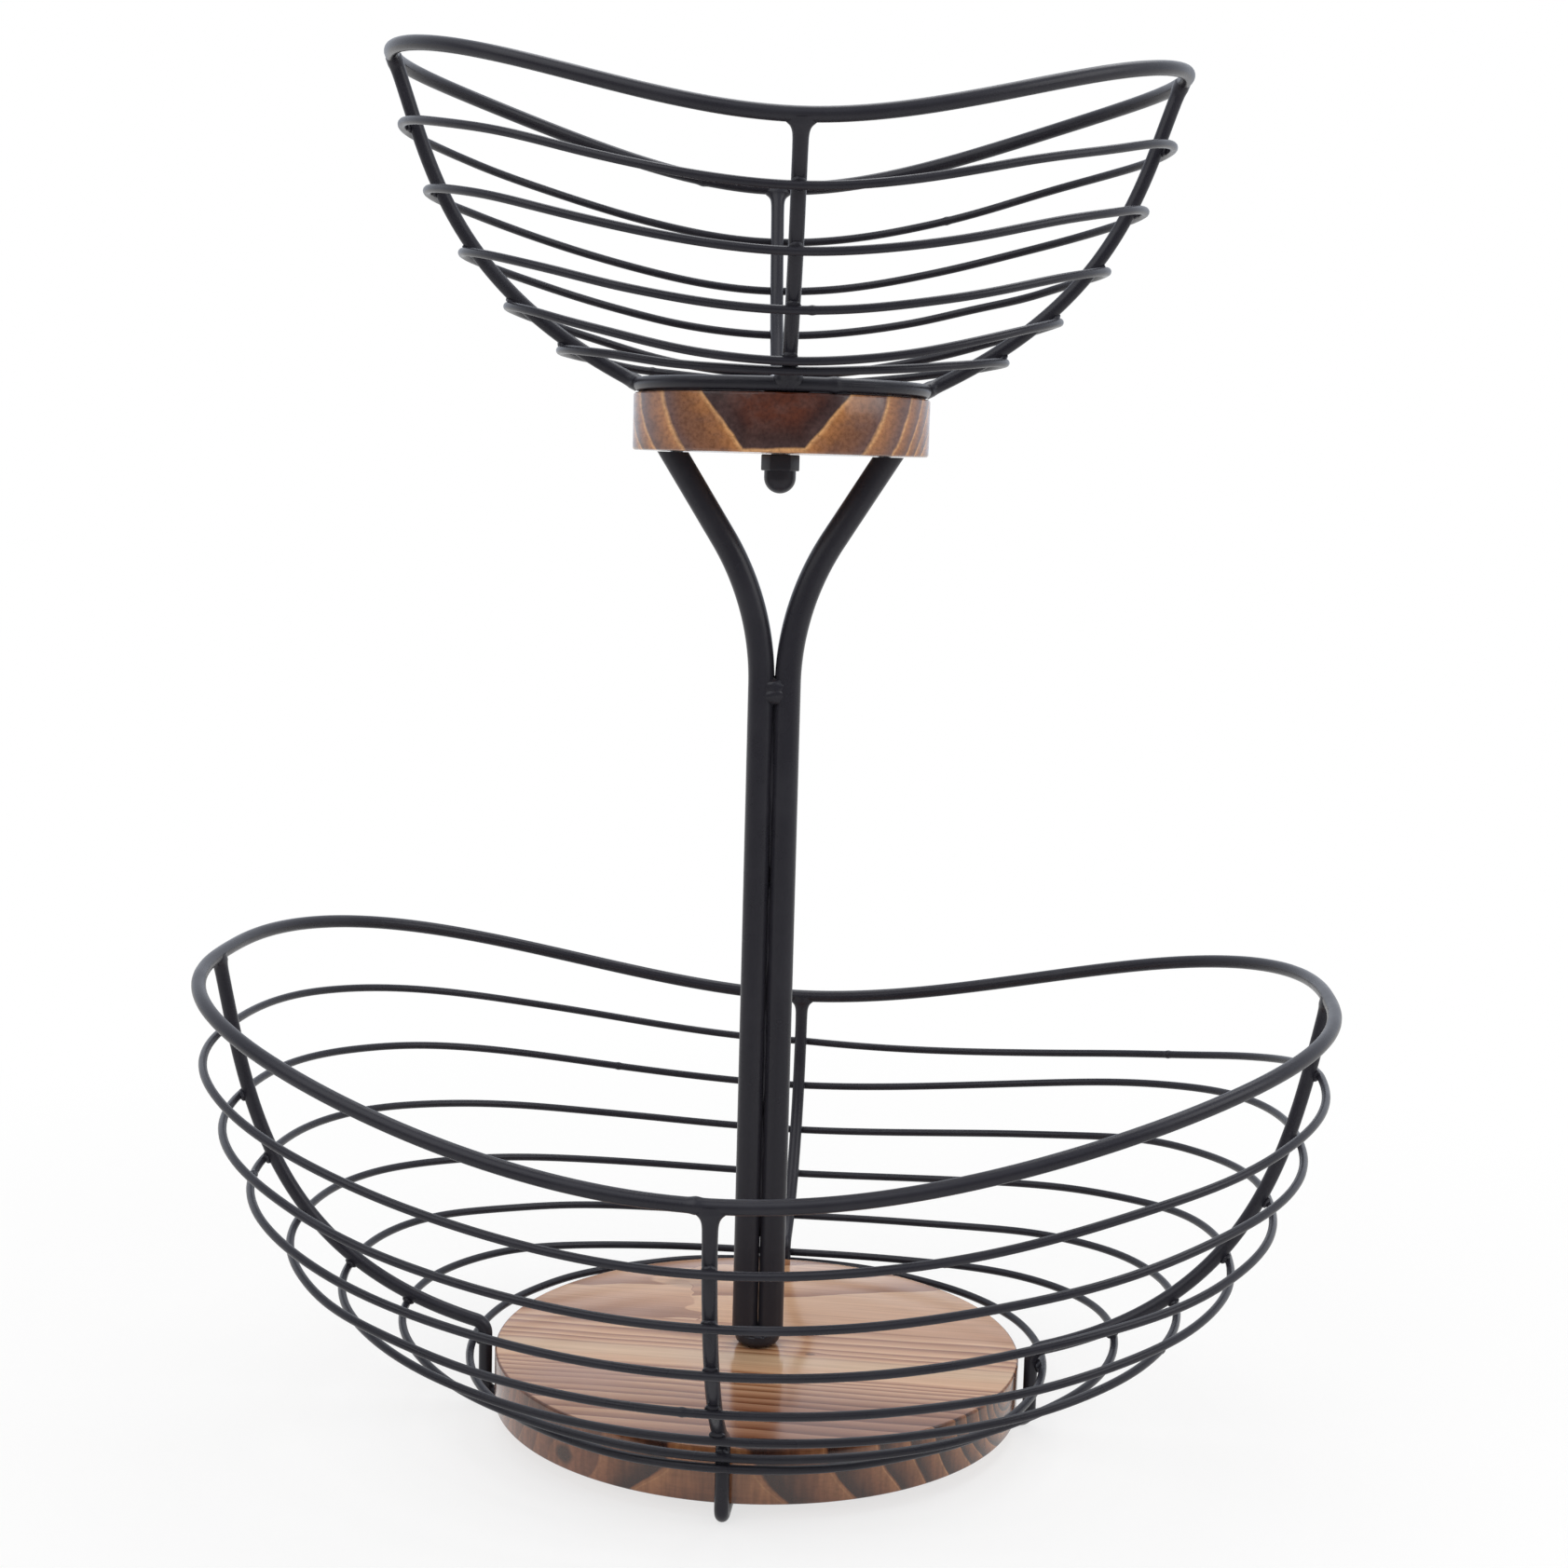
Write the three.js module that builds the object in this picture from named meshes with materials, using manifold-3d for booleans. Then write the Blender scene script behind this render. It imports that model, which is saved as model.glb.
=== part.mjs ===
// A two-tier wire basket: two saddle-shaped wire baskets with round wooden boards, on a post of two rods.
// Millimetres and degrees, +Z up, the floor at z = 0, the lower basket's length along X, its front at -Y.

import * as THREE from 'three';
import { mergeVertices } from 'three/addons/utils/BufferGeometryUtils.js';
import Module from 'manifold-3d';

const wasm = await Module();
wasm.setup();

// Stock and fits
const clearance = 0.3;
const cutPast = 2;
const frameWire = 4.4;
const loopWire = 2.6;
const postRod = 8;
const boardThickness = 17.5;
const boardEdgeRound = 0.8;
const bendInside = 2.3;
const footBendInside = 1;

// Lower basket: the rim's heights are measured from the underside of the board
const lowerBoardDiameter = 169.6;
const lowerBoardPlay = 1.8;
const lowerHalfLength = 176.3;
const lowerHalfWidth = 131;
const lowerEndHeight = 140.4;
const lowerSideHeight = 104.1;
const lowerLoopCount = 7;
const lowerRimSquareness = 0.46;
const lowerSaddleEase = 0.48;
const lowestLoopHeight = 14.2;
const lowestLoopEndRise = 1.6;
const lowestLoopSpace = 0.7;
const firstLoopSag = 10;

// The lower ribs' curves: the angle and pull of each curve's start at the bend and of its end at the rim
const lowerEndRib = { startAngle: 16.1, startPull: 73.7, rimAngle: 78.3, rimPull: 42.4 };
const lowerSideRib = { startAngle: 24.9, startPull: 20.7, rimAngle: 92.2, rimPull: 41.4 };
const lowerEndFirstDrop = 24.5;
const lowerEndLastRise = 22.7;
const lowerSideFirstDrop = 17.5;
const lowerSideLastRise = 13;
const leftRibTurn = 4;

// Hub and screw under the lower board
const hubDiameter = 30;
const screwDiameter = 6;
const screwHeadDiameter = 11.5;
const screwHeadHeight = 2;

// Post
const postHeight = 287;
const bossDiameter = 14.5;
const bossHeight = 4;
const armReach = 33.6;
const armAngle = 32;
const armBendRadius = 86;
const postTurn = 6;

// Upper tier: the rim's heights are measured from the top of the board
const upperBoardDiameter = 91.6;
const ringInset = 1.9;
const upperHalfLength = 120;
const upperHalfWidth = 88;
const upperEndHeight = 98.1;
const upperSideHeight = 72.6;
const upperLoopCount = 5;
const upperRimSquareness = 0.1;
const upperSaddleEase = 0.58;
const upperTurn = 8;
const upperEndRib = { startAngle: 25.9, startPull: 65.6, rimAngle: 69, rimPull: 29.9 };
const upperSideRib = { startAngle: 47, startPull: 50, rimAngle: 66.5, rimPull: 38 };
const upperEndFirstDrop = 20.9;
const upperEndLastRise = 23.3;
const upperSideFirstDrop = 18.3;
const upperSideLastRise = 5.6;
const upperSideLastStep = 3.6;

// Fasteners of the upper tier
const crossBarWidth = 14;
const crossBarThickness = 2.5;
const boltDiameter = 6;
const boltHeadDiameter = 12;
const boltHeadHeight = 3.5;
const boltReachInNut = 8;
const nutAcrossFlats = 10.5;
const nutHexHeight = 5;
const nutDomeDiameter = 9.9;
const nutHeight = 12;
const armScrewDiameter = 4;
const armScrewHeadDiameter = 8;
const armScrewDepth = 4;
const armScrewInset = 1.4;

// Facets
const frameSides = 8;
const loopSides = 6;
const rimSteps = 48;
const loopSteps = 40;
const ringSteps = 32;
const boardSteps = 48;
const turnedSteps = 24;
const curveSteps = 9;
const bendSteps = 3;
const armBendSteps = 6;

// Sizes and places that follow from the driving dimensions
const frameRadius = frameWire / 2;
const loopRadius = loopWire / 2;
const loopOffset = frameRadius + loopRadius + clearance;
const lowerBoardRadius = lowerBoardDiameter / 2;
const lowerBoardBottom = frameWire + clearance;
const lowerBoardTop = lowerBoardBottom + boardThickness;
const uprightRadius = lowerBoardRadius + lowerBoardPlay + frameRadius;
const upperBoardBottom = lowerBoardTop + postHeight;
const upperBoardTop = upperBoardBottom + boardThickness;
const upperBoardRadius = upperBoardDiameter / 2;
const ringRadius = upperBoardRadius - ringInset;
const ringHeight = clearance + frameRadius;
const bendRadius = frameRadius + bendInside;
const footBendRadius = frameRadius + footBendInside;
const screwHole = screwDiameter / 2 + clearance;
const boltHole = boltDiameter / 2 + clearance;
const barBottom = upperBoardTop + clearance;
const barTop = barBottom + crossBarThickness;
const armScrewPlace = armReach - armScrewInset;

// Finishes

function blackCoat() {
  return new THREE.MeshStandardMaterial({ color: 0x1d1d20, roughness: 0.42, metalness: 0.25 });
}

function tanPine() {
  return new THREE.MeshStandardMaterial({ color: 0xc09a78, roughness: 0.3, metalness: 0 });
}

function scorchedPine() {
  return new THREE.MeshStandardMaterial({ color: 0x6a3f24, roughness: 0.35, metalness: 0 });
}

function plainSteel() {
  return new THREE.MeshStandardMaterial({ color: 0x8d8f92, roughness: 0.35, metalness: 0.9 });
}

function piece(name, geometry, material) {
  const mesh = new THREE.Mesh(geometry, material);
  mesh.name = name;
  return mesh;
}

// Solids, cut and joined

function solidOf(geometry) {
  const bare = geometry.clone();
  bare.deleteAttribute('normal');
  bare.deleteAttribute('uv');
  const merged = mergeVertices(bare, 1e-4);
  const vertProperties = new Float32Array(merged.attributes.position.array);
  const triVerts = new Uint32Array(merged.index.array);
  const mesh = new wasm.Mesh({ numProp: 3, vertProperties, triVerts });
  mesh.merge();
  return new wasm.Manifold(mesh);
}

function geometryOf(solid) {
  const mesh = solid.getMesh();
  const geometry = new THREE.BufferGeometry();
  geometry.setAttribute('position', new THREE.BufferAttribute(new Float32Array(mesh.vertProperties), 3));
  geometry.setIndex(new THREE.BufferAttribute(new Uint32Array(mesh.triVerts), 1));
  geometry.computeVertexNormals();
  return geometry;
}

function cut(geometry, ...tools) {
  return geometryOf(tools.reduce((solid, tool) => solid.subtract(solidOf(tool)), solidOf(geometry)));
}

function join(first, second) {
  return geometryOf(solidOf(first).add(solidOf(second)));
}

// A round piece turned about Z from a profile of [radius, height] points, its outer side going up
function turned(profile, steps = turnedSteps) {
  const points = profile.map(([radius, height]) => new THREE.Vector2(radius, height));
  return new THREE.LatheGeometry(points, steps).rotateX(Math.PI / 2);
}

function drill(radius, bottom, top) {
  const rod = new THREE.CylinderGeometry(radius, radius, top - bottom, turnedSteps).rotateX(Math.PI / 2);
  return rod.translate(0, 0, (bottom + top) / 2);
}

// A wire's centre line through given points, stepped from point to point
class Route extends THREE.Curve {
  constructor(points, closed) {
    super();
    this.points = points;
    this.closed = closed;
    this.spans = closed ? points.length : points.length - 1;
  }

  getPoint(t, target = new THREE.Vector3()) {
    const along = (this.closed ? t - Math.floor(t) : THREE.MathUtils.clamp(t, 0, 1)) * this.spans;
    const index = Math.min(Math.round(along * 2) / 2, this.spans);
    const from = this.points[Math.floor(index) % this.points.length];
    const to = this.points[Math.ceil(index) % this.points.length];
    return target.lerpVectors(from, to, index - Math.floor(index));
  }

  getTangent(t, target = new THREE.Vector3()) {
    const half = 0.5 / this.spans;
    return target.subVectors(this.getPoint(t + half), this.getPoint(t - half)).normalize();
  }

  getUtoTmapping(u) {
    return u;
  }
}

// A wire along an open route, with flat facets in the plane of its bends
function openWire(points, radius) {
  const corner = radius / Math.cos(Math.PI / frameSides);
  const section = new THREE.Shape();
  for (let side = 0; side < frameSides; side += 1) {
    const angle = ((side + 0.5) * 2 * Math.PI) / frameSides;
    const place = [corner * Math.cos(angle), corner * Math.sin(angle)];
    if (side === 0) section.moveTo(...place);
    else section.lineTo(...place);
  }
  section.closePath();
  const extrudePath = new Route(points, false);
  return new THREE.ExtrudeGeometry(section, { steps: points.length - 1, extrudePath });
}

function closedWire(points, radius, sides) {
  return new THREE.TubeGeometry(new Route(points, true), points.length, radius, sides, true);
}

// A loop through four stations: oval in plan, high at its ends and low at its sides
// With a sag, its back right quarter hangs that much lower
// With a left turn, its left station stands that many degrees nearer the front
function saddleLoop({ end, side, squareness, ease, steps, sag = 0, leftTurn = 0 }) {
  const power = 2 / (2 + squareness);
  const rise = (reach) => reach ** 2 + 2 * ease * (reach ** 2 - reach ** 3);
  const turn = THREE.MathUtils.degToRad(leftTurn);
  const leftAngle = Math.asin(((end.x * Math.sin(turn)) / side.x) ** (1 / power));
  const leftReach = Math.cos(leftAngle) ** power;
  const leftHeight = side.y + (end.y - side.y) / rise(leftReach);
  const left = new THREE.Vector2((end.x * Math.cos(turn)) / leftReach, leftHeight);
  const points = [];
  for (let step = 0; step < steps; step += 1) {
    const even = (2 * Math.PI * step) / steps;
    const angle = even + leftAngle * Math.max(0, -Math.cos(even));
    const along = Math.sign(Math.cos(angle)) * Math.abs(Math.cos(angle)) ** power;
    const across = Math.sign(Math.sin(angle)) * Math.abs(Math.sin(angle)) ** power;
    const tip = along < 0 ? left : end;
    const hang = angle < Math.PI / 2 ? sag * Math.sin(2 * angle) : 0;
    const height = side.y + (tip.y - side.y) * rise(Math.abs(along)) - hang;
    points.push(new THREE.Vector3(tip.x * along, side.x * across, height));
  }
  return points;
}

// Ribs are drawn in a plane, x outwards and y upwards, and then turned to their side of the basket

function polar(angle, length) {
  const radians = THREE.MathUtils.degToRad(angle);
  return new THREE.Vector2(Math.cos(radians), Math.sin(radians)).multiplyScalar(length);
}

function ribCurve(start, rim, { startAngle, startPull, rimAngle, rimPull }) {
  const fromStart = start.clone().add(polar(startAngle, startPull));
  const beforeRim = rim.clone().sub(polar(rimAngle, rimPull));
  return new THREE.CubicBezierCurve(start, fromStart, beforeRim, rim);
}

// The centre of a thin loop outside a rib, at a distance along the rib below the rim
function station(curve, drop) {
  const share = 1 - drop / curve.getLength();
  const along = curve.getTangentAt(share);
  return curve.getPointAt(share).add(new THREE.Vector2(along.y, -along.x).multiplyScalar(loopOffset));
}

// Drops that divide a rib evenly from the first loop to the last
function evenDrops(first, last, count) {
  return Array.from({ length: count }, (_, index) => first + ((last - first) * index) / (count - 1));
}

// The points of a rib's curve, which stops short of the rim's wire
function curvePoints(curve) {
  const share = 1 - (frameRadius + clearance) / curve.getLength();
  return Array.from({ length: curveSteps + 1 }, (_, step) => curve.getPointAt((share * step) / curveSteps));
}

// Points of a round bend about a centre, from one angle to another
function bend(centre, radius, fromAngle, toAngle, steps = bendSteps) {
  return Array.from({ length: steps + 1 }, (_, step) => {
    const angle = fromAngle + ((toAngle - fromAngle) * step) / steps;
    return centre.clone().add(polar(angle, radius));
  });
}

function inPlane(points, turn) {
  const up = new THREE.Vector3(0, 0, 1);
  const radians = THREE.MathUtils.degToRad(turn);
  return points.map((point) => new THREE.Vector3(point.x, 0, point.y).applyAxisAngle(up, radians));
}

const sides = [
  { name: 'right', turn: 0, atEnd: true },
  { name: 'back', turn: 90, atEnd: false },
  { name: 'left', turn: 180, atEnd: true },
  { name: 'front', turn: 270, atEnd: false },
];

// Lower basket

function bendTangent(rib) {
  return bendRadius * Math.tan(THREE.MathUtils.degToRad((90 - rib.startAngle) / 2));
}

const lastLoopSide = lowerBoardBottom + lowestLoopHeight;
const lastLoopEnd = lastLoopSide + lowestLoopEndRise;
const nextLoopSide = lastLoopSide + loopWire + lowestLoopSpace;
const lowerEndUpright = lastLoopEnd + loopRadius + clearance;
const lowerSideUpright = nextLoopSide + loopRadius + clearance;

function lowerRibCurve(rib, uprightTop, halfSpan, height) {
  const start = new THREE.Vector2(uprightRadius, uprightTop + bendTangent(rib));
  start.add(polar(rib.startAngle, bendTangent(rib)));
  return ribCurve(start, new THREE.Vector2(halfSpan, lowerBoardBottom + height), rib);
}

const lowerEndCurve = lowerRibCurve(lowerEndRib, lowerEndUpright, lowerHalfLength, lowerEndHeight);
const lowerSideCurve = lowerRibCurve(lowerSideRib, lowerSideUpright, lowerHalfWidth, lowerSideHeight);

function lowerRibPoints(curve, rib, uprightTop) {
  const hubEnd = new THREE.Vector2(hubDiameter / 2 + clearance, frameRadius);
  const footCentre = new THREE.Vector2(uprightRadius - footBendRadius, frameRadius + footBendRadius);
  const shoulderCentre = new THREE.Vector2(uprightRadius + bendRadius, uprightTop);
  return [
    hubEnd,
    ...bend(footCentre, footBendRadius, -90, 0),
    ...bend(shoulderCentre, bendRadius, 180, 90 + rib.startAngle),
    ...curvePoints(curve).slice(1),
  ];
}

function lowerLoops() {
  const lastEnd = lowerEndCurve.getLength() - lowerEndLastRise;
  const lastSide = lowerSideCurve.getLength() - lowerSideLastRise;
  const evenEnd = evenDrops(lowerEndFirstDrop, lastEnd, lowerLoopCount - 1);
  const evenSide = evenDrops(lowerSideFirstDrop, lastSide, lowerLoopCount - 2);
  const ends = evenEnd.map((drop) => station(lowerEndCurve, drop));
  const besides = evenSide.map((drop) => station(lowerSideCurve, drop));
  const round = uprightRadius + loopOffset;
  ends.push(new THREE.Vector2(round, lastLoopEnd));
  besides.push(new THREE.Vector2(round, nextLoopSide), new THREE.Vector2(round, lastLoopSide));
  return ends.map((end, index) => ({ end, side: besides[index] }));
}

function lowerBoard() {
  return turned(
    [
      [screwHole, lowerBoardBottom],
      ...boardEdge(lowerBoardRadius, lowerBoardBottom, lowerBoardTop),
      [screwHole, lowerBoardTop],
      [screwHole, lowerBoardBottom],
    ],
    boardSteps,
  );
}

// The rounded edge of a board, from its underside to its top
function boardEdge(radius, bottom, top) {
  const inner = radius - boardEdgeRound;
  const eased = boardEdgeRound * (1 - Math.SQRT1_2);
  return [
    [inner, bottom],
    [radius - eased, bottom + eased],
    [radius, bottom + boardEdgeRound],
    [radius, top - boardEdgeRound],
    [radius - eased, top - eased],
    [inner, top],
  ];
}

function hub() {
  const recess = screwHeadDiameter / 2 + clearance;
  const recessTop = clearance + screwHeadHeight + clearance;
  return turned([
    [recess, 0],
    [hubDiameter / 2, 0],
    [hubDiameter / 2, frameWire],
    [screwHole, frameWire],
    [screwHole, recessTop],
    [recess, recessTop],
    [recess, 0],
  ]);
}

function lowerBasket() {
  const group = new THREE.Group();
  const rim = saddleLoop({
    end: new THREE.Vector2(lowerHalfLength, lowerBoardBottom + lowerEndHeight),
    side: new THREE.Vector2(lowerHalfWidth, lowerBoardBottom + lowerSideHeight),
    squareness: lowerRimSquareness,
    ease: lowerSaddleEase,
    steps: rimSteps,
    leftTurn: leftRibTurn,
  });
  group.add(piece('lower_rim', closedWire(rim, frameRadius, frameSides), blackCoat()));
  lowerLoops().forEach((stations, index) => {
    const share = 1 - (index + 1) / (lowerLoopCount + 1);
    const points = saddleLoop({
      ...stations,
      squareness: lowerRimSquareness * share,
      ease: lowerSaddleEase * share,
      steps: loopSteps,
      sag: index === 0 ? firstLoopSag : 0,
      leftTurn: leftRibTurn,
    });
    group.add(piece(`lower_loop_${index + 1}`, closedWire(points, loopRadius, loopSides), blackCoat()));
  });
  const endRib = lowerRibPoints(lowerEndCurve, lowerEndRib, lowerEndUpright);
  const sideRib = lowerRibPoints(lowerSideCurve, lowerSideRib, lowerSideUpright);
  for (const { name, turn, atEnd } of sides) {
    const route = inPlane(atEnd ? endRib : sideRib, name === 'left' ? turn + leftRibTurn : turn);
    group.add(piece(`lower_rib_${name}`, openWire(route, frameRadius), blackCoat()));
  }
  group.add(piece('lower_hub', hub(), blackCoat()));
  group.add(piece('lower_board', lowerBoard(), tanPine()));
  return group;
}

// Post, with the upper board and the screws

function foot() {
  const bottom = lowerBoardTop + clearance;
  return turned([
    [screwHole, bottom],
    [bossDiameter / 2, bottom],
    [bossDiameter / 2, bottom + bossHeight],
    [screwHole, bottom + bossHeight],
    [screwHole, bottom],
  ]);
}

function baseScrew() {
  const headBottom = clearance;
  const headTop = headBottom + screwHeadHeight;
  return turned([
    [0, headBottom],
    [screwHeadDiameter / 2, headBottom],
    [screwHeadDiameter / 2, headTop],
    [screwDiameter / 2, headTop],
    [screwDiameter / 2, lowerBoardTop + bossHeight],
    [0, lowerBoardTop + bossHeight],
  ]);
}

// One rod, drawn to the right of the post's axis: straight up, through a wide bend, then out to the board
function rodPoints() {
  const axis = (postRod + clearance) / 2;
  const spread = THREE.MathUtils.degToRad(armAngle);
  const bendOut = armBendRadius * (1 - Math.cos(spread));
  const straight = (armReach - axis - bendOut) / Math.sin(spread);
  const bendStart = upperBoardBottom - straight * Math.cos(spread) - armBendRadius * Math.sin(spread);
  const centre = new THREE.Vector2(axis + armBendRadius, bendStart);
  const past = polar(90 - armAngle, straight + postRod);
  const rounded = bend(centre, armBendRadius, 180, 180 - armAngle, armBendSteps);
  return [
    new THREE.Vector2(axis, lowerBoardTop + bossHeight + 2 * clearance),
    ...rounded,
    rounded[rounded.length - 1].clone().add(past),
  ];
}

function rod(turn) {
  const raw = openWire(inPlane(rodPoints(), turn), postRod / 2);
  const sign = turn === 0 ? 1 : -1;
  const end = upperBoardBottom - clearance;
  const waste = new THREE.BoxGeometry(armReach, armReach, armReach);
  waste.translate(sign * armReach, 0, end + armReach / 2);
  const hole = drill(armScrewDiameter / 2 + clearance, end - armScrewDepth - clearance, end + cutPast);
  return cut(raw, waste, hole.translate(sign * armScrewPlace, 0, 0));
}

function countersink(radius, top) {
  const hole = armScrewDiameter / 2 + clearance;
  return turned([
    [0, upperBoardBottom - cutPast],
    [hole, upperBoardBottom - cutPast],
    [hole, top - (radius - hole)],
    [radius, top],
    [radius, top + cutPast],
    [0, top + cutPast],
  ]);
}

function upperBoard() {
  const blank = turned(
    [
      [boltHole, upperBoardBottom],
      ...boardEdge(upperBoardRadius, upperBoardBottom, upperBoardTop),
      [boltHole, upperBoardTop],
      [boltHole, upperBoardBottom],
    ],
    boardSteps,
  );
  const recess = armScrewHeadDiameter / 2 + 2 * clearance;
  const holeAt = (sign) => countersink(recess, upperBoardTop).translate(sign * armScrewPlace, 0, 0);
  return cut(blank, holeAt(1), holeAt(-1));
}

function armScrew(sign) {
  const radius = armScrewDiameter / 2;
  const head = armScrewHeadDiameter / 2;
  const top = upperBoardTop - clearance;
  const screw = turned([
    [0, upperBoardBottom - clearance - armScrewDepth],
    [radius, upperBoardBottom - clearance - armScrewDepth],
    [radius, top - (head - radius)],
    [head, top],
    [0, top],
  ]);
  return screw.translate(sign * armScrewPlace, 0, 0);
}

function centreBolt() {
  const seat = barTop + clearance;
  return turned([
    [0, upperBoardBottom - boltReachInNut],
    [boltDiameter / 2, upperBoardBottom - boltReachInNut],
    [boltDiameter / 2, seat],
    [boltHeadDiameter / 2, seat],
    [boltHeadDiameter / 2, seat + boltHeadHeight / 2],
    [boltHeadDiameter / 4, seat + boltHeadHeight],
    [0, seat + boltHeadHeight],
  ]);
}

function capNut() {
  const top = upperBoardBottom - clearance;
  const shoulder = top - nutHexHeight;
  const domeRadius = nutDomeDiameter / 2;
  const domeCentre = top - nutHeight + domeRadius;
  const dome = [];
  for (let step = 0; step <= 2 * bendSteps; step += 1) {
    const angle = (step / (2 * bendSteps) - 1) * 90;
    const place = polar(angle, domeRadius);
    dome.push([Math.max(place.x, 0), domeCentre + place.y]);
  }
  dome[0][0] = 0;
  const body = turned([...dome, [domeRadius, shoulder + clearance], [0, shoulder + clearance]]);
  const cornerRadius = nutAcrossFlats / Math.sqrt(3);
  const hex = new THREE.CylinderGeometry(cornerRadius, cornerRadius, nutHexHeight, 6).rotateX(Math.PI / 2);
  hex.translate(0, 0, shoulder + nutHexHeight / 2);
  const bore = drill(boltHole, upperBoardBottom - boltReachInNut - clearance, top + cutPast);
  return cut(join(body, hex), bore);
}

function post() {
  const group = new THREE.Group();
  group.rotation.z = THREE.MathUtils.degToRad(postTurn);
  group.add(piece('post_foot_boss', foot(), blackCoat()));
  group.add(piece('base_screw', baseScrew(), plainSteel()));
  group.add(piece('post_rod_right', rod(0), blackCoat()));
  group.add(piece('post_rod_left', rod(180), blackCoat()));
  group.add(piece('upper_board', upperBoard(), scorchedPine()));
  group.add(piece('arm_screw_right', armScrew(1), plainSteel()));
  group.add(piece('arm_screw_left', armScrew(-1), plainSteel()));
  group.add(piece('centre_bolt', centreBolt(), plainSteel()));
  group.add(piece('cap_nut', capNut(), blackCoat()));
  return group;
}

// Upper basket, drawn from the top of its board

function upperRibCurve(rib, halfSpan, height) {
  const start = new THREE.Vector2(ringRadius, ringHeight);
  start.add(polar(rib.startAngle, frameWire / 2 + clearance));
  return ribCurve(start, new THREE.Vector2(halfSpan, height), rib);
}

const upperEndCurve = upperRibCurve(upperEndRib, upperHalfLength, upperEndHeight);
const upperSideCurve = upperRibCurve(upperSideRib, upperHalfWidth, upperSideHeight);

function upperLoops() {
  const lastEnd = upperEndCurve.getLength() - upperEndLastRise;
  const lastSide = upperSideCurve.getLength() - upperSideLastRise;
  const ends = evenDrops(upperEndFirstDrop, lastEnd, upperLoopCount);
  const besides = evenDrops(upperSideFirstDrop, lastSide - upperSideLastStep, upperLoopCount - 1);
  besides.push(lastSide);
  return ends.map((drop, index) => ({
    end: station(upperEndCurve, drop),
    side: station(upperSideCurve, besides[index]),
  }));
}

function baseRing() {
  const points = [];
  for (let step = 0; step < ringSteps; step += 1) {
    const place = polar((360 * step) / ringSteps, ringRadius);
    points.push(new THREE.Vector3(place.x, place.y, ringHeight));
  }
  return closedWire(points, frameRadius, frameSides);
}

// A flat bar across the ring, its ends rounded to the ring and a hole at its middle
function crossBar() {
  const reach = ringRadius - frameRadius - clearance;
  const half = Math.asin(crossBarWidth / 2 / reach);
  const outline = new THREE.Shape();
  outline.absarc(0, 0, reach, Math.PI / 2 - half, Math.PI / 2 + half, false);
  outline.absarc(0, 0, reach, -Math.PI / 2 - half, -Math.PI / 2 + half, false);
  outline.closePath();
  const hole = new THREE.Path();
  hole.absarc(0, 0, boltHole, 0, 2 * Math.PI, true);
  outline.holes.push(hole);
  const options = { depth: crossBarThickness, bevelEnabled: false, curveSegments: bendSteps * 4 };
  return new THREE.ExtrudeGeometry(outline, options).translate(0, 0, clearance);
}

function upperBasket() {
  const group = new THREE.Group();
  group.position.z = upperBoardTop;
  group.rotation.z = THREE.MathUtils.degToRad(upperTurn);
  const rim = saddleLoop({
    end: new THREE.Vector2(upperHalfLength, upperEndHeight),
    side: new THREE.Vector2(upperHalfWidth, upperSideHeight),
    squareness: upperRimSquareness,
    ease: upperSaddleEase,
    steps: rimSteps,
  });
  group.add(piece('upper_rim', closedWire(rim, frameRadius, frameSides), blackCoat()));
  upperLoops().forEach((stations, index) => {
    const share = 1 - (index + 1) / (upperLoopCount + 1);
    const points = saddleLoop({
      ...stations,
      squareness: upperRimSquareness,
      ease: upperSaddleEase * share,
      steps: loopSteps,
    });
    group.add(piece(`upper_loop_${index + 1}`, closedWire(points, loopRadius, loopSides), blackCoat()));
  });
  for (const { name, turn, atEnd } of sides) {
    const route = inPlane(curvePoints(atEnd ? upperEndCurve : upperSideCurve), turn);
    group.add(piece(`upper_rib_${name}`, openWire(route, frameRadius), blackCoat()));
  }
  group.add(piece('base_ring', baseRing(), blackCoat()));
  group.add(piece('cross_bar', crossBar(), blackCoat()));
  return group;
}

const basket = new THREE.Group();
basket.add(lowerBasket(), post(), upperBasket());

export default basket;
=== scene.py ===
"""A two-tier wire basket on a post of two rods, with scorched pine boards, in a soft white studio.

Metres, +Z up, the floor at z = 0 and the lower basket's front at -Y.
"""

import logging
import math
from abc import ABC, abstractmethod
from bisect import bisect_left
from dataclasses import dataclass, field
from enum import Enum
from itertools import accumulate
from typing import Sequence

import bmesh
import bpy
from bmesh.types import BMEdge, BMesh, BMVert
from mathutils import Matrix, Vector, noise
from mathutils.geometry import interpolate_bezier


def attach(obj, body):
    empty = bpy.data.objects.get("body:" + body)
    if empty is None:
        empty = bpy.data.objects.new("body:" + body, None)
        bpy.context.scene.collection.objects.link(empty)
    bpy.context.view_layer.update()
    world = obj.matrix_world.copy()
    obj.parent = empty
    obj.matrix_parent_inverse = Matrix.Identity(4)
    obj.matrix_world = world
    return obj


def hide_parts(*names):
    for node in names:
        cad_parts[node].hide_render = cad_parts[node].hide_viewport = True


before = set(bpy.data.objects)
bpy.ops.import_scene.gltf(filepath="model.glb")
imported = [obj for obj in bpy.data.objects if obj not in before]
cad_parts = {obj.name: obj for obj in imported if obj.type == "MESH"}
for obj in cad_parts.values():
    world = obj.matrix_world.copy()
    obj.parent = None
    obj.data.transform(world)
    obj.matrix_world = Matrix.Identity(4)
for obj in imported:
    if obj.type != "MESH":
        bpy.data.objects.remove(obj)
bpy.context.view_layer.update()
LOG = logging.getLogger("basket")

Colour = tuple[float, float, float]
Triple = tuple[float, float, float]
Range = tuple[float, float]
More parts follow.
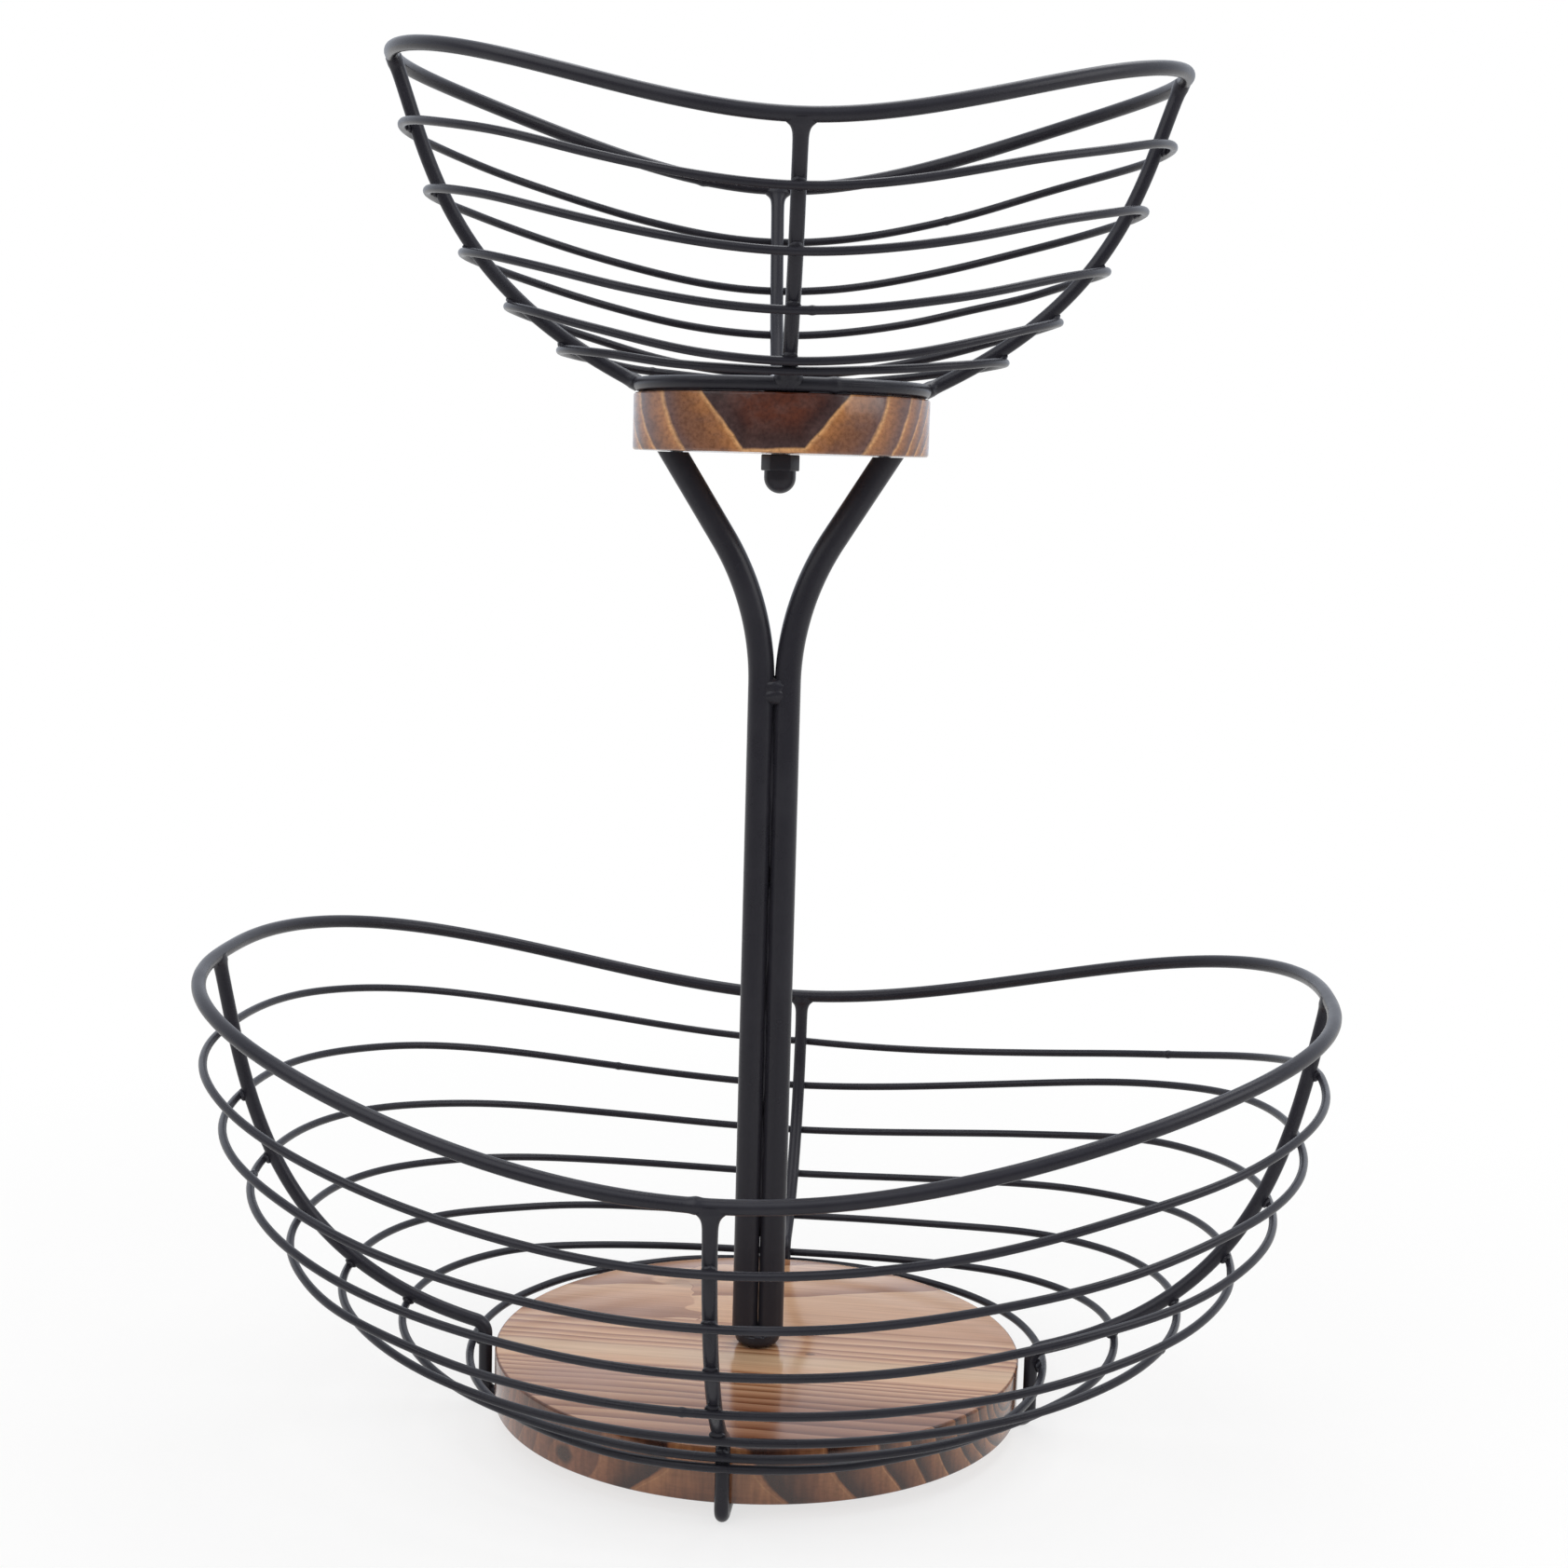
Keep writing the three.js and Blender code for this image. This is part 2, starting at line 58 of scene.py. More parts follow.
# Where a change starts and ends, and the numbers before and after it
Change = tuple[float, float, float, float]
Stops = Sequence[tuple[float, Colour]]
Profile = Sequence[Range]
Crossing = tuple[Vector, Vector]
Route = tuple[list[Vector], list[Range]]
Material = bpy.types.Material
Socket = bpy.types.NodeSocket
Value = float | Socket

UP = Vector((0.0, 0.0, 1.0))
OUT = Vector((1.0, 0.0, 0.0))
ACROSS = Vector((0.0, 1.0, 0.0))

# How finely the wires and turned pieces are drawn
CURVE_SAMPLES = 400
LOOP_SAMPLES = 1440
RIM_STEPS = 272
LOOP_STEPS = 232
RING_STEPS = 120
BOARD_STEPS = 192
TURNED_STEPS = 64
BEND_STEPS = 10
ARM_STEPS = 40
FRAME_SIDES = 20
LOOP_SIDES = 14
ROD_SIDES = 32
RIB_STEP = 0.0025
RIB_FINE_STEP = 0.00035
RIB_FINE_LENGTH = 0.007
SHARP_ANGLE = math.radians(38)
SHARP_FOLD = 0.6
SAME_POINT = 1e-6
HEXAGON = 6

# The colour sockets of a Mix node, and how rough the finer layers of a noise are
MIX_FIRST = 6
MIX_SECOND = 7
MIX_RESULT = 2
NOISE_ROUGHNESS = 0.55

# Butt welds in the loops, lumps of weld metal and the loops' own waves
SEAM_STEP = 0.0004
SEAM_STEPS = 9
SEAM_RISE = 0.15
SEAM_SPREAD = 0.6
WELD_UNEVENNESS = 0.22
WELD_WAVES = 900.0
WELD_DIVISIONS = 3
LOOP_WAVES = 2.2
LOOP_SEED_STEP = 7.3


class Body(Enum):
    """The bodies that move against each other."""

    LOWER_BASKET = "lower_basket"
    POST = "post"
    UPPER_BASKET = "upper_basket"


class Slot(Enum):
    """The material slots of the record."""

    BLACK_COAT = "black_coat"
    TAN_PINE = "tan_pine"
    SCORCHED_PINE = "scorched_pine"
    PLAIN_STEEL = "plain_steel"


class Side(Enum):
    """The four sides of a basket, by the turn in degrees from its right end."""

    RIGHT = 0
    BACK = 90
    LEFT = 180
    FRONT = 270

    @property
    def at_end(self) -> bool:
        """Whether the side is one of the two high ends."""
        return self in (Side.RIGHT, Side.LEFT)


def turn_about_z(degrees: float) -> Matrix:
    """A turn about the upright axis."""
    return Matrix.Rotation(math.radians(degrees), 4, "Z")


# Finishes


class Graph:
    """A node tree, with short calls for the nodes that the finishes use."""

    def __init__(self, tree: bpy.types.NodeTree) -> None:
        """Work on a tree that exists."""
        self.tree = tree

    def feed(self, target: Socket, value: Value | Colour) -> None:
        """Link a socket to a target, or set the target's own value.

        Args:
            target: The input socket.
            value: An output socket, or a number or vector.
        """
        if isinstance(value, Socket):
            self.tree.links.new(value, target)
        else:
            target.default_value = value

    def node(self, kind: str, *inputs: Value | Colour, **settings: str) -> bpy.types.Node:
        """A new shader node.

        Args:
            kind: The node's type, without the start that all their names share.
            inputs: What its first inputs take.
            settings: The node's own settings.

        Returns:
            The node.
        """
        made = self.tree.nodes.new(f"ShaderNode{kind}")
        for key, value in settings.items():
            setattr(made, key, value)
        for target, value in zip(made.inputs, inputs):
            self.feed(target, value)
        return made

    def place(self, turn: float = 0.0, centre: Triple = (0.0, 0.0, 0.0)) -> Socket:
        """The place on the piece, in metres.

        Args:
            turn: The angle about Z, in degrees, of the axes that the place is read along.
            centre: The point that the place is read from, before the turn.

        Returns:
            The vector socket.
        """
        moved = self.vector("SUBTRACT", self.node("TexCoord").outputs["Object"], centre)
        turned = self.node("Mapping", moved, vector_type="POINT")
        turned.inputs["Rotation"].default_value = (0.0, 0.0, -math.radians(turn))
        return turned.outputs["Vector"]

    def vector(self, operation: str, first: Socket, second: Socket | Colour) -> Socket:
        """The result of an operation on two vectors."""
        return self.node("VectorMath", first, second, operation=operation).outputs["Vector"]

    def length(self, vector: Socket) -> Socket:
        """The length of a vector."""
        return self.node("VectorMath", vector, operation="LENGTH").outputs["Value"]

    def far(self, place: Socket, centre: Triple, squeeze: float) -> Socket:
        """The distance from a centre, squeezed along the grain."""
        away = self.vector("SUBTRACT", place, centre)
        return self.length(self.vector("MULTIPLY", away, (squeeze, 1.0, 1.0)))

    def axes(self, vector: Socket) -> tuple[Socket, ...]:
        """The three parts of a vector."""
        return tuple(self.node("SeparateXYZ", vector).outputs)

    def joined(self, x: Value, y: Value, z: Value) -> Socket:
        """A vector from its three parts."""
        return self.node("CombineXYZ", x, y, z).outputs[0]

    def math(self, operation: str, first: Value, second: Value = 0.0) -> Socket:
        """The result of an operation on one or two values."""
        return self.node("Math", first, second, operation=operation).outputs[0]

    def add(self, first: Value, second: Value) -> Socket:
        """The sum of two values."""
        return self.math("ADD", first, second)

    def less(self, first: Value, second: Value) -> Socket:
        """The first value less the second."""
        return self.math("SUBTRACT", first, second)

    def times(self, first: Value, second: Value) -> Socket:
        """The product of two values."""
        return self.math("MULTIPLY", first, second)

    def most(self, first: Value, second: Value) -> Socket:
        """The larger of two values."""
        return self.math("MAXIMUM", first, second)

    def noise(self, vector: Socket, waves: Triple, detail: float = 3.0) -> Socket:
        """A noise from 0 to 1.

        Args:
            vector: The place.
            waves: The number of waves in a metre along each axis.
            detail: The number of finer layers.

        Returns:
            The value socket.
        """
        made = self.node("TexNoise", self.vector("MULTIPLY", vector, waves))
        for key, value in (("Scale", 1.0), ("Detail", detail), ("Roughness", NOISE_ROUGHNESS)):
            made.inputs[key].default_value = value
        return made.outputs[0]

    def span(self, value: Value, low: float, high: float, start: Value = 0.0, end: Value = 1.0) -> Socket:
        """A smooth change from a start to an end as a value goes from low to high."""
        made = self.node("MapRange", value, low, high, start, end, interpolation_type="SMOOTHSTEP")
        return made.outputs["Result"]

    def ramp(self, value: Value, stops: Stops) -> Socket:
        """A colour from a row of stops.

        Args:
            value: The place along the row, from 0 to 1.
            stops: Each stop's place and colour.

        Returns:
            The colour socket.
        """
        made = self.node("ValToRGB", value)
        elements = made.color_ramp.elements
        while len(elements) < len(stops):
            elements.new(0.5)
        for element, (where, colour) in zip(elements, stops):
            element.position = where
            element.color = (*colour, 1.0)
        return made.outputs["Color"]

    def mix(self, share: Value, first: Value | Colour, second: Value | Colour, blend: str = "MIX") -> Socket:
        """Two colours mixed.

        Args:
            share: The share of the second colour.
            first: The first colour.
            second: The second colour.
            blend: The way they mix.

        Returns:
            The colour socket.
        """
        made = self.node("Mix", share, data_type="RGBA", blend_type=blend)
        for index, colour in ((MIX_FIRST, first), (MIX_SECOND, second)):
            self.feed(made.inputs[index], colour if isinstance(colour, Socket) else (*colour, 1.0))
        return made.outputs[MIX_RESULT]


@dataclass(frozen=True)
class Relief:
    """A surface's bump, by its strength and its height in metres, its shine, and 1 for bare metal."""

    strength: float
    height: float
    specular: float = 0.5
    metal: float = 0.0


class Finish(Graph):
    """A material's node tree round one principled shader."""

    def __init__(self, name: str) -> None:
        """Start a material.

        Args:
            name: The material's name.
        """
        self.material = bpy.data.materials.new(name)
        self.material.use_nodes = True
        super().__init__(self.material.node_tree)
        self.shader = self.tree.nodes["Principled BSDF"]

    def finish(self, colour: Socket, roughness: Socket, height: Socket, relief: Relief) -> Material:
        """Set the shader.

        Args:
            colour: The base colour.
            roughness: The roughness.
            height: The height of the surface, from 0 to 1.
            relief: How the surface rises and shines.

        Returns:
            The material.
        """
        bump = self.node("Bump")
        bump.inputs["Strength"].default_value = relief.strength
        bump.inputs["Distance"].default_value = relief.height
        self.feed(bump.inputs["Height"], height)
        self.feed(self.shader.inputs["Normal"], bump.outputs["Normal"])
        self.feed(self.shader.inputs["Base Color"], colour)
        self.feed(self.shader.inputs["Roughness"], roughness)
        self.shader.inputs["Specular IOR Level"].default_value = relief.specular
        self.shader.inputs["Metallic"].default_value = relief.metal
        return self.material


@dataclass(frozen=True)
class PatchyMetal:
    """A metal's surface in two tones, in soft patches, raised by a fine grain."""

    name: str
    tones: tuple[Colour, Colour]
    tone_range: Range
    patches: Triple
    roughness: Change
    grain: Triple
    grain_detail: float
    relief: Relief
    patch_detail: float = 4.0

    def material(self) -> Material:
        """The finish as a node material.

        Returns:
            The material.
        """
        graph = Finish(self.name)
        place = graph.place()
        patch = graph.noise(place, self.patches, self.patch_detail)
        grain = graph.noise(place, self.grain, self.grain_detail)
        colour = graph.mix(graph.span(patch, *self.tone_range), *self.tones)
        return graph.finish(colour, graph.span(patch, *self.roughness), grain, self.relief)


@dataclass(frozen=True)
class BlackCoat(PatchyMetal):
    """A satin black powder coat with a fine orange peel, a little greyer where it lies thin."""

    name: str = "black_coat"
    tones: tuple[Colour, Colour] = ((0.0210, 0.0202, 0.0265), (0.0265, 0.0257, 0.0325))
    tone_range: Range = (0.35, 0.75)
    patches: Triple = (60.0, 60.0, 60.0)
    roughness: Change = (0.25, 0.75, 0.24, 0.36)
    grain: Triple = (1500.0, 1500.0, 1500.0)
    grain_detail: float = 1.0
    relief: Relief = Relief(0.12, 0.00012, specular=0.21)


@dataclass(frozen=True)
class PlainSteel(PatchyMetal):
    """Bright zinc-plated steel, dulled in patches."""

    name: str = "plain_steel"
    tones: tuple[Colour, Colour] = ((0.56, 0.57, 0.58), (0.36, 0.36, 0.37))
    tone_range: Range = (0.3, 0.7)
    patches: Triple = (420.0, 420.0, 420.0)
    roughness: Change = (0.3, 0.7, 0.24, 0.42)
    grain: Triple = (2600.0, 2600.0, 500.0)
    grain_detail: float = 2.0
    relief: Relief = Relief(0.08, 0.0001, metal=1.0)


@dataclass(frozen=True)
class Flecks:
    """Fine dark flecks in wood: the waves of their noise, the ends of their tint and their strength."""

    waves: Triple
    dark: tuple[float, Colour]
    light: tuple[float, Colour]
    share: float

    def over(self, graph: Graph, place: Socket, colour: Socket) -> tuple[Socket, Socket]:
        """A colour darkened by the flecks, and the flecks' noise."""
        flecks = graph.noise(place, self.waves)
        return graph.mix(self.share, colour, graph.ramp(flecks, (self.dark, self.light)), "MULTIPLY"), flecks


@dataclass(frozen=True)
class Knot:
    """A knot that the grain runs round: its centre on the board, its reach and its darkness."""

    centre: Triple
    reach: float
    dark: float
    squeeze: float = 0.6
    pull: float = 0.85
    core: Range = (0.76, 0.94)

    def bend(self, graph: Graph, turn: float, across: Socket, core: Value) -> tuple[Socket, Socket]:
        """Bend the grain round the knot.

        Args:
            graph: The material's graph.
            turn: The grain's turn on the board, in degrees.
            across: The distance across the grain so far.
            core: The darkness of the knots so far.

        Returns:
            The new distance across the grain, and the new darkness.
        """
        from_knot = graph.place(turn, self.centre)
        scale = (self.squeeze / self.reach, 1.0 / self.reach, 1.0 / self.reach)
        far = graph.length(graph.vector("MULTIPLY", from_knot, scale))
        near = graph.math("EXPONENT", graph.times(graph.times(far, far), -1.0))
        shift = graph.times(graph.times(near, graph.axes(from_knot)[1]), self.pull)
        return graph.less(across, shift), graph.most(core, graph.span(near, *self.core, 0.0, self.dark))


@dataclass(frozen=True)
class TanPine:
    """Varnished pine glued from two planks, tan on top, smoked to the front and burnt round the edge."""

    name: str = "tan_pine"
    edge: Range = (0.084, 0.0845)
    grain_turn: float = -1.4
    heart: Range = (-0.02, 0.025)
    behind_growth: float = 0.7
    reach: float = 0.07
    ring_line: float = 0.0003
    first_ring: float = 0.3
    rings: tuple[float, ...] = (
        *(0.005, 0.008, 0.0107, 0.0135, 0.0175, 0.0215, 0.0268),
        *(0.0312, 0.038, 0.0447, 0.051, 0.058, 0.0643),
    )
    wander: Triple = (9.0, 24.0, 24.0)
    wander_by: Change = (0.2, 0.8, -0.0016, 0.0016)
    joint: Range = (0.0164, 0.0166)
    back_waves: Triple = (30.0, 45.0, 30.0)
    back_detail: float = 2.5
    back_lobe: Range = (-0.0268, -0.0252)
    back_lobe_by: Change = (0.2, 0.8, -0.011, 0.011)
    back_wander_by: Change = (0.2, 0.8, -0.0025, 0.0025)
    back_starts: Range = (0.0554, 0.0437)
    back_slope: Change = (-0.03, 0.01, 0.16, 0.31)
    back_years: Range = (31.0, 10.0)
    back_far_years: float = 59.0
    knots: tuple[Knot, ...] = (
        Knot((-0.030, 0.053, 0.0222), 0.011, 0.3),
        Knot((-0.0506, -0.0681, 0.0096), 0.0068, 0.95),
        Knot((0.018, -0.0074, 0.0222), 0.0024, 0.6),
    )
    knot_core: Colour = (0.05, 0.02, 0.012)
    plain: Colour = (0.46, 0.235, 0.11)
    plain_share: float = 0.15
    cream: Colour = (0.64, 0.43, 0.265)
    cream_front: Range = (-0.023, -0.016)
    cream_back: Change = (-0.012, -0.008, 0.85, 0.0)
    smoke: Colour = (0.54, 0.45, 0.45)
    smoke_back: Change = (-0.054, -0.026, 1.0, 0.0)
    smoke_right: Change = (-0.05, 0.02, 0.45, 1.0)
    swirl: Triple = (-0.05, -0.037, 0.0222)
    swirl_squeeze: float = 0.6
    swirl_fade: Change = (0.004, 0.018, 0.55, 0.0)
    swirl_tint: Colour = (0.36, 0.2, 0.15)
    blotch: Triple = (-0.036, 0.0545, 0.0222)
    blotch_squeeze: float = 0.55
    blotch_fade: Change = (0.004, 0.0055, 0.7, 0.0)
    side_plain: Colour = (0.27, 0.105, 0.055)
    side_plain_left: Change = (-0.042, -0.028, 0.65, 0.0)
    burn: Colour = (0.045, 0.019, 0.0105)
    burn_waves: Triple = (26.0, 26.0, 40.0)
    burn_patches: Change = (0.5, 0.66, 0.0, 0.75)
    burn_left: Change = (-0.045, -0.02, 0.55, 0.15)
    top_stops: Stops = (
        (0.0, (0.68, 0.42, 0.25)),
        (0.2, (0.62, 0.36, 0.205)),
        (0.55, (0.49, 0.25, 0.13)),
        (0.85, (0.32, 0.14, 0.066)),
        (1.0, (0.28, 0.118, 0.054)),
    )
    side_stops: Stops = (
        (0.0, (0.52, 0.26, 0.11)),
        (0.07, (0.33, 0.138, 0.057)),
        (0.4, (0.21, 0.078, 0.033)),
        (0.85, (0.052, 0.0195, 0.012)),
        (1.0, (0.04, 0.0155, 0.0105)),
    )
    hair: Flecks = Flecks((520.0, 520.0, 70.0), (0.34, (0.68, 0.64, 0.62)), (0.64, (1.1, 1.1, 1.1)), 0.9)
    fibre: Flecks = Flecks((28.0, 1100.0, 1100.0), (0.3, (0.8, 0.77, 0.74)), (0.62, (1.04, 1.04, 1.04)), 0.85)
    tone_waves: Triple = (8.0, 34.0, 34.0)
    roughness: Change = (0.3, 0.7, 0.13, 0.18)
    relief: Relief = Relief(0.05, 0.00015, specular=0.7)

    def years(self) -> list[tuple[float, Colour]]:
        """The front plank's row from the heart outwards, which goes from 0 to 1 through each year.

        Returns:
            Each stop's place and grey.
        """
        row = [(0.0, (self.first_ring,) * 3)]
        for inner, outer in zip(self.rings, (*self.rings[1:], self.reach)):
            row.append((inner / self.reach, (0.0,) * 3))
            row.append(((outer - self.ring_line) / self.reach, (1.0,) * 3))
        return row

    def front_late(self, graph: Graph, place: Socket) -> tuple[Socket, Socket]:
        """How late in its year the front plank's wood grew: rings round a heart, bent by the knots.

        Args:
            graph: The material's graph.
            place: The place on the board, along the grain.

        Returns:
            The lateness from 0 to 1, and the darkness of the knots.
        """
        _, grain_y, grain_z = graph.axes(place)
        wander = graph.noise(place, self.wander, detail=2.0)
        across = graph.add(graph.less(grain_y, self.heart[0]), graph.span(wander, *self.wander_by))
        core: Value = 0.0
        for knot in self.knots:
            across, core = knot.bend(graph, self.grain_turn, across, core)
        across = graph.math("MINIMUM", across, graph.times(across, self.behind_growth))
        far = graph.length(graph.joined(0.0, across, graph.less(grain_z, self.heart[1])))
        return graph.ramp(graph.math("DIVIDE", far, self.reach), self.years()), core

    def back_late(self, graph: Graph, place: Socket) -> Socket:
        """How late in its year the back plank's wood grew: broad waves, with a lobe on the left.

        Args:
            graph: The material's graph.
            place: The place on the board, along the grain.

        Returns:
            The lateness from 0 to 1.
        """
        grain_x, grain_y, _ = graph.axes(place)
        waves = graph.noise(place, self.back_waves, self.back_detail)
        lobe = graph.add(grain_x, graph.span(waves, *self.back_lobe_by))
        behind = graph.less(graph.times(grain_x, graph.span(grain_x, *self.back_slope)), grain_y)
        behind = graph.add(behind, graph.span(lobe, *self.back_lobe, *self.back_starts))
        behind = graph.add(behind, graph.span(waves, *self.back_wander_by))
        near = graph.times(behind, graph.span(lobe, *self.back_lobe, *self.back_years))
        far = graph.times(behind, self.back_far_years)
        return graph.math("FRACT", graph.math("MINIMUM", near, far))

    def top(self, graph: Graph, place: Socket, late: Socket, back: Socket) -> Socket:
        """The colour of the board's top.

        Args:
            graph: The material's graph.
            place: The place on the board, along the grain.
            late: How late in its year the wood grew.
            back: The share of the back plank.

        Returns:
            The colour.
        """
        grain_x, grain_y, _ = graph.axes(place)
        top = graph.mix(graph.times(back, self.plain_share), graph.ramp(late, self.top_stops), self.plain)
        pale = graph.times(graph.span(grain_y, *self.cream_front), graph.span(grain_y, *self.cream_back))
        top = graph.mix(pale, top, self.cream)
        smoked = graph.times(graph.span(grain_y, *self.smoke_back), graph.span(grain_x, *self.smoke_right))
        top = graph.mix(smoked, top, self.smoke, "MULTIPLY")
        swirl = graph.far(place, self.swirl, self.swirl_squeeze)
        top = graph.mix(graph.span(swirl, *self.swirl_fade), top, self.swirl_tint)
        blotch = graph.far(place, self.blotch, self.blotch_squeeze)
        return graph.mix(graph.span(blotch, *self.blotch_fade), top, self.top_stops[0][1])

    def side(self, graph: Graph, place: Socket, late: Socket) -> Socket:
        """The colour of the board's burnt side.

        Args:
            graph: The material's graph.
            place: The place on the board, along the grain.
            late: How late in its year the wood grew.

        Returns:
            The colour.
        """
        grain_x = graph.axes(place)[0]
        side = graph.ramp(late, self.side_stops)
        side = graph.mix(graph.span(grain_x, *self.side_plain_left), side, self.side_plain)
        burn = graph.noise(place, self.burn_waves)
        burnt = graph.times(graph.span(burn, *self.burn_patches), graph.span(grain_x, *self.burn_left))
        return self.hair.over(graph, place, graph.mix(burnt, side, self.burn))[0]

    def material(self) -> Material:
        """The finish as a node material.

        Returns:
            The material.
        """
        graph = Finish(self.name)
        place = graph.place(self.grain_turn)
        grain_x, grain_y, _ = graph.axes(place)
        back = graph.span(grain_y, *self.joint)
        front_late, core = self.front_late(graph, place)
        late = graph.mix(back, front_late, self.back_late(graph, place))
        edge = graph.span(graph.length(graph.joined(grain_x, grain_y, 0.0)), *self.edge)
        colour = graph.mix(edge, self.top(graph, place, late, back), self.side(graph, place, late))
        colour, fibre = self.fibre.over(graph, place, graph.mix(core, colour, self.knot_core))
        tone = graph.noise(place, self.tone_waves, detail=2.0)
        return graph.finish(colour, graph.span(tone, *self.roughness), fibre, self.relief)


@dataclass(frozen=True)
class ScorchedPine:
    """Dark scorched pine whose growth rings show end on at the front, round a heart above the board."""

    name: str = "scorched_pine"
    turn: float = 6.0
    heart: Triple = (-0.002, 0.0, 0.3297)
    reach: float = 0.056
    wedge_slope: float = 0.777
    wedge_scale: float = 0.911
    wedge_glow: float = 0.0026
    wedge_fade: Range = (0.024, 0.031)
    char: Colour = (0.045, 0.017, 0.014)
    ember: Colour = (0.105, 0.027, 0.012)
    dusk: Colour = (0.062, 0.034, 0.033)
    pale: Colour = (0.68, 0.36, 0.15)
    warm: Colour = (0.42, 0.175, 0.062)
    brown: Colour = (0.26, 0.108, 0.047)
    smoke: Colour = (0.13, 0.066, 0.056)
    heart_shares: Triple = (0.55, 0.8, 0.97)
    ring_shares: Triple = (0.12, 0.5, 0.92)
    rings: tuple[float, ...] = (0.02225, 0.0338, 0.0412, 0.0448, 0.0472, 0.0492, 0.0515, 0.054)
    wander: Triple = (40.0, 6.0, 40.0)
    wander_by: Change = (0.2, 0.8, -0.0006, 0.0006)
    ripple: Triple = (260.0, 40.0, 260.0)
    ripple_by: Change = (0.2, 0.8, -0.00015, 0.00015)
    mottle: Triple = (150.0, 30.0, 240.0)
    mottle_smoke: Change = (0.45, 0.75, 0.0, 0.4)
    pores: Flecks = Flecks((900.0, 60.0, 900.0), (0.32, (0.66, 0.62, 0.6)), (0.6, (1.08, 1.08, 1.08)), 0.9)
    roughness: Change = (0.3, 0.7, 0.13, 0.22)
    relief: Relief = Relief(0.08, 0.0002)

    def stops(self) -> list[tuple[float, Colour]]:
        """The row of ring colours from the heart outwards.

        Returns:
            Each stop's place and colour.
        """
        row = [(0.0, self.ember)]
        for share, colour in zip(self.heart_shares, (self.ember, self.char, self.dusk)):
            row.append((share * self.rings[0], colour))
        for inner, outer in zip(self.rings, self.rings[1:]):
            row.append((inner, self.pale))
            for share, colour in zip(self.ring_shares, (self.warm, self.brown, self.smoke)):
                row.append((inner + share * (outer - inner), colour))
        return [(where / self.reach, colour) for where, colour in row]

    def from_heart(self, graph: Graph, place: Socket) -> Socket:
        """The distance from the heart, round the outer rings and along a straight wedge inside the first.

        Args:
            graph: The material's graph.
            place: The place on the board.

        Returns:
            The value socket.
        """
        along, _, rise = graph.axes(graph.vector("SUBTRACT", place, self.heart))
        depth = graph.times(rise, -1.0)
        round_far = graph.length(graph.joined(along, 0.0, depth))
        slanted = graph.add(graph.math("ABSOLUTE", along), graph.times(depth, self.wedge_slope))
        wedge = graph.times(slanted, self.wedge_scale)
        wedge = graph.most(wedge, graph.add(depth, self.wedge_glow))
        share = graph.span(round_far, *self.wedge_fade)
        return graph.add(wedge, graph.times(graph.less(round_far, wedge), share))

    def material(self) -> Material:
        """The finish as a node material.

        Returns:
            The material.
        """
        graph = Finish(self.name)
        place = graph.place(self.turn)
        far = self.from_heart(graph, place)
        for waves, by in ((self.wander, self.wander_by), (self.ripple, self.ripple_by)):
            far = graph.add(far, graph.span(graph.noise(place, waves, detail=2.0), *by))
        colour = graph.ramp(graph.math("DIVIDE", far, self.reach), self.stops())
        mottle = graph.noise(place, self.mottle)
        colour = graph.mix(graph.span(mottle, *self.mottle_smoke), colour, self.smoke)
        colour, pores = self.pores.over(graph, place, colour)
        return graph.finish(colour, graph.span(mottle, *self.roughness), pores, self.relief)


@dataclass(frozen=True)
class Finishes:
    """The materials that the sub-assemblies share, by slot."""

    materials: dict[Slot, Material] = field(
        default_factory=lambda: {
            Slot.BLACK_COAT: BlackCoat().material(),
            Slot.TAN_PINE: TanPine().material(),
            Slot.SCORCHED_PINE: ScorchedPine().material(),
            Slot.PLAIN_STEEL: PlainSteel().material(),
        }
    )


# Shapes that the sub-assemblies share


@dataclass(frozen=True)
class Stock:
    """Wire, rod and board sizes, and the gap between neighbours."""

    gap: float = 0.0003
    frame_radius: float = 0.0022
    loop_radius: float = 0.0013
    rod_radius: float = 0.004
    rod_coat: float = 0.00013
    board_thickness: float = 0.0175
    board_round: float = 0.0008
    metal_round: float = 0.0004

    @property
    def loop_offset(self) -> float:
        """The distance of a thin loop's centre line from a rib's."""
        return self.frame_radius + self.loop_radius + self.gap


def polar(angle: float, length: float) -> Vector:
    """A step in a rib's plane, at an angle in degrees above the horizontal."""
    return Vector((math.cos(math.radians(angle)), 0.0, math.sin(math.radians(angle)))) * length


def bend(centre: Vector, radius: float, start: float, end: float, steps: int = BEND_STEPS) -> list[Vector]:
    """The points of a round bend in a rib's plane, from one angle in degrees to another."""
    return [centre + polar(start + (end - start) * step / steps, radius) for step in range(steps + 1)]


def even_drops(first: float, last: float, count: int) -> list[float]:
    """Distances that divide a rib evenly from the first loop to the last."""
    return [first + (last - first) * index / (count - 1) for index in range(count)]


@dataclass(frozen=True)
class RibShape:
    """The angle and pull of a rib's curve at its start and at the rim."""

    start_angle: float
    start_pull: float
    rim_angle: float
    rim_pull: float


@dataclass(frozen=True)
class Station:
    """One side of a basket: the rim's reach and height, the rib's curve and the loops' run down it."""

    reach: float
    height: float
    rib: RibShape
    first_drop: float
    last_rise: float
    last_step: float = 0.0


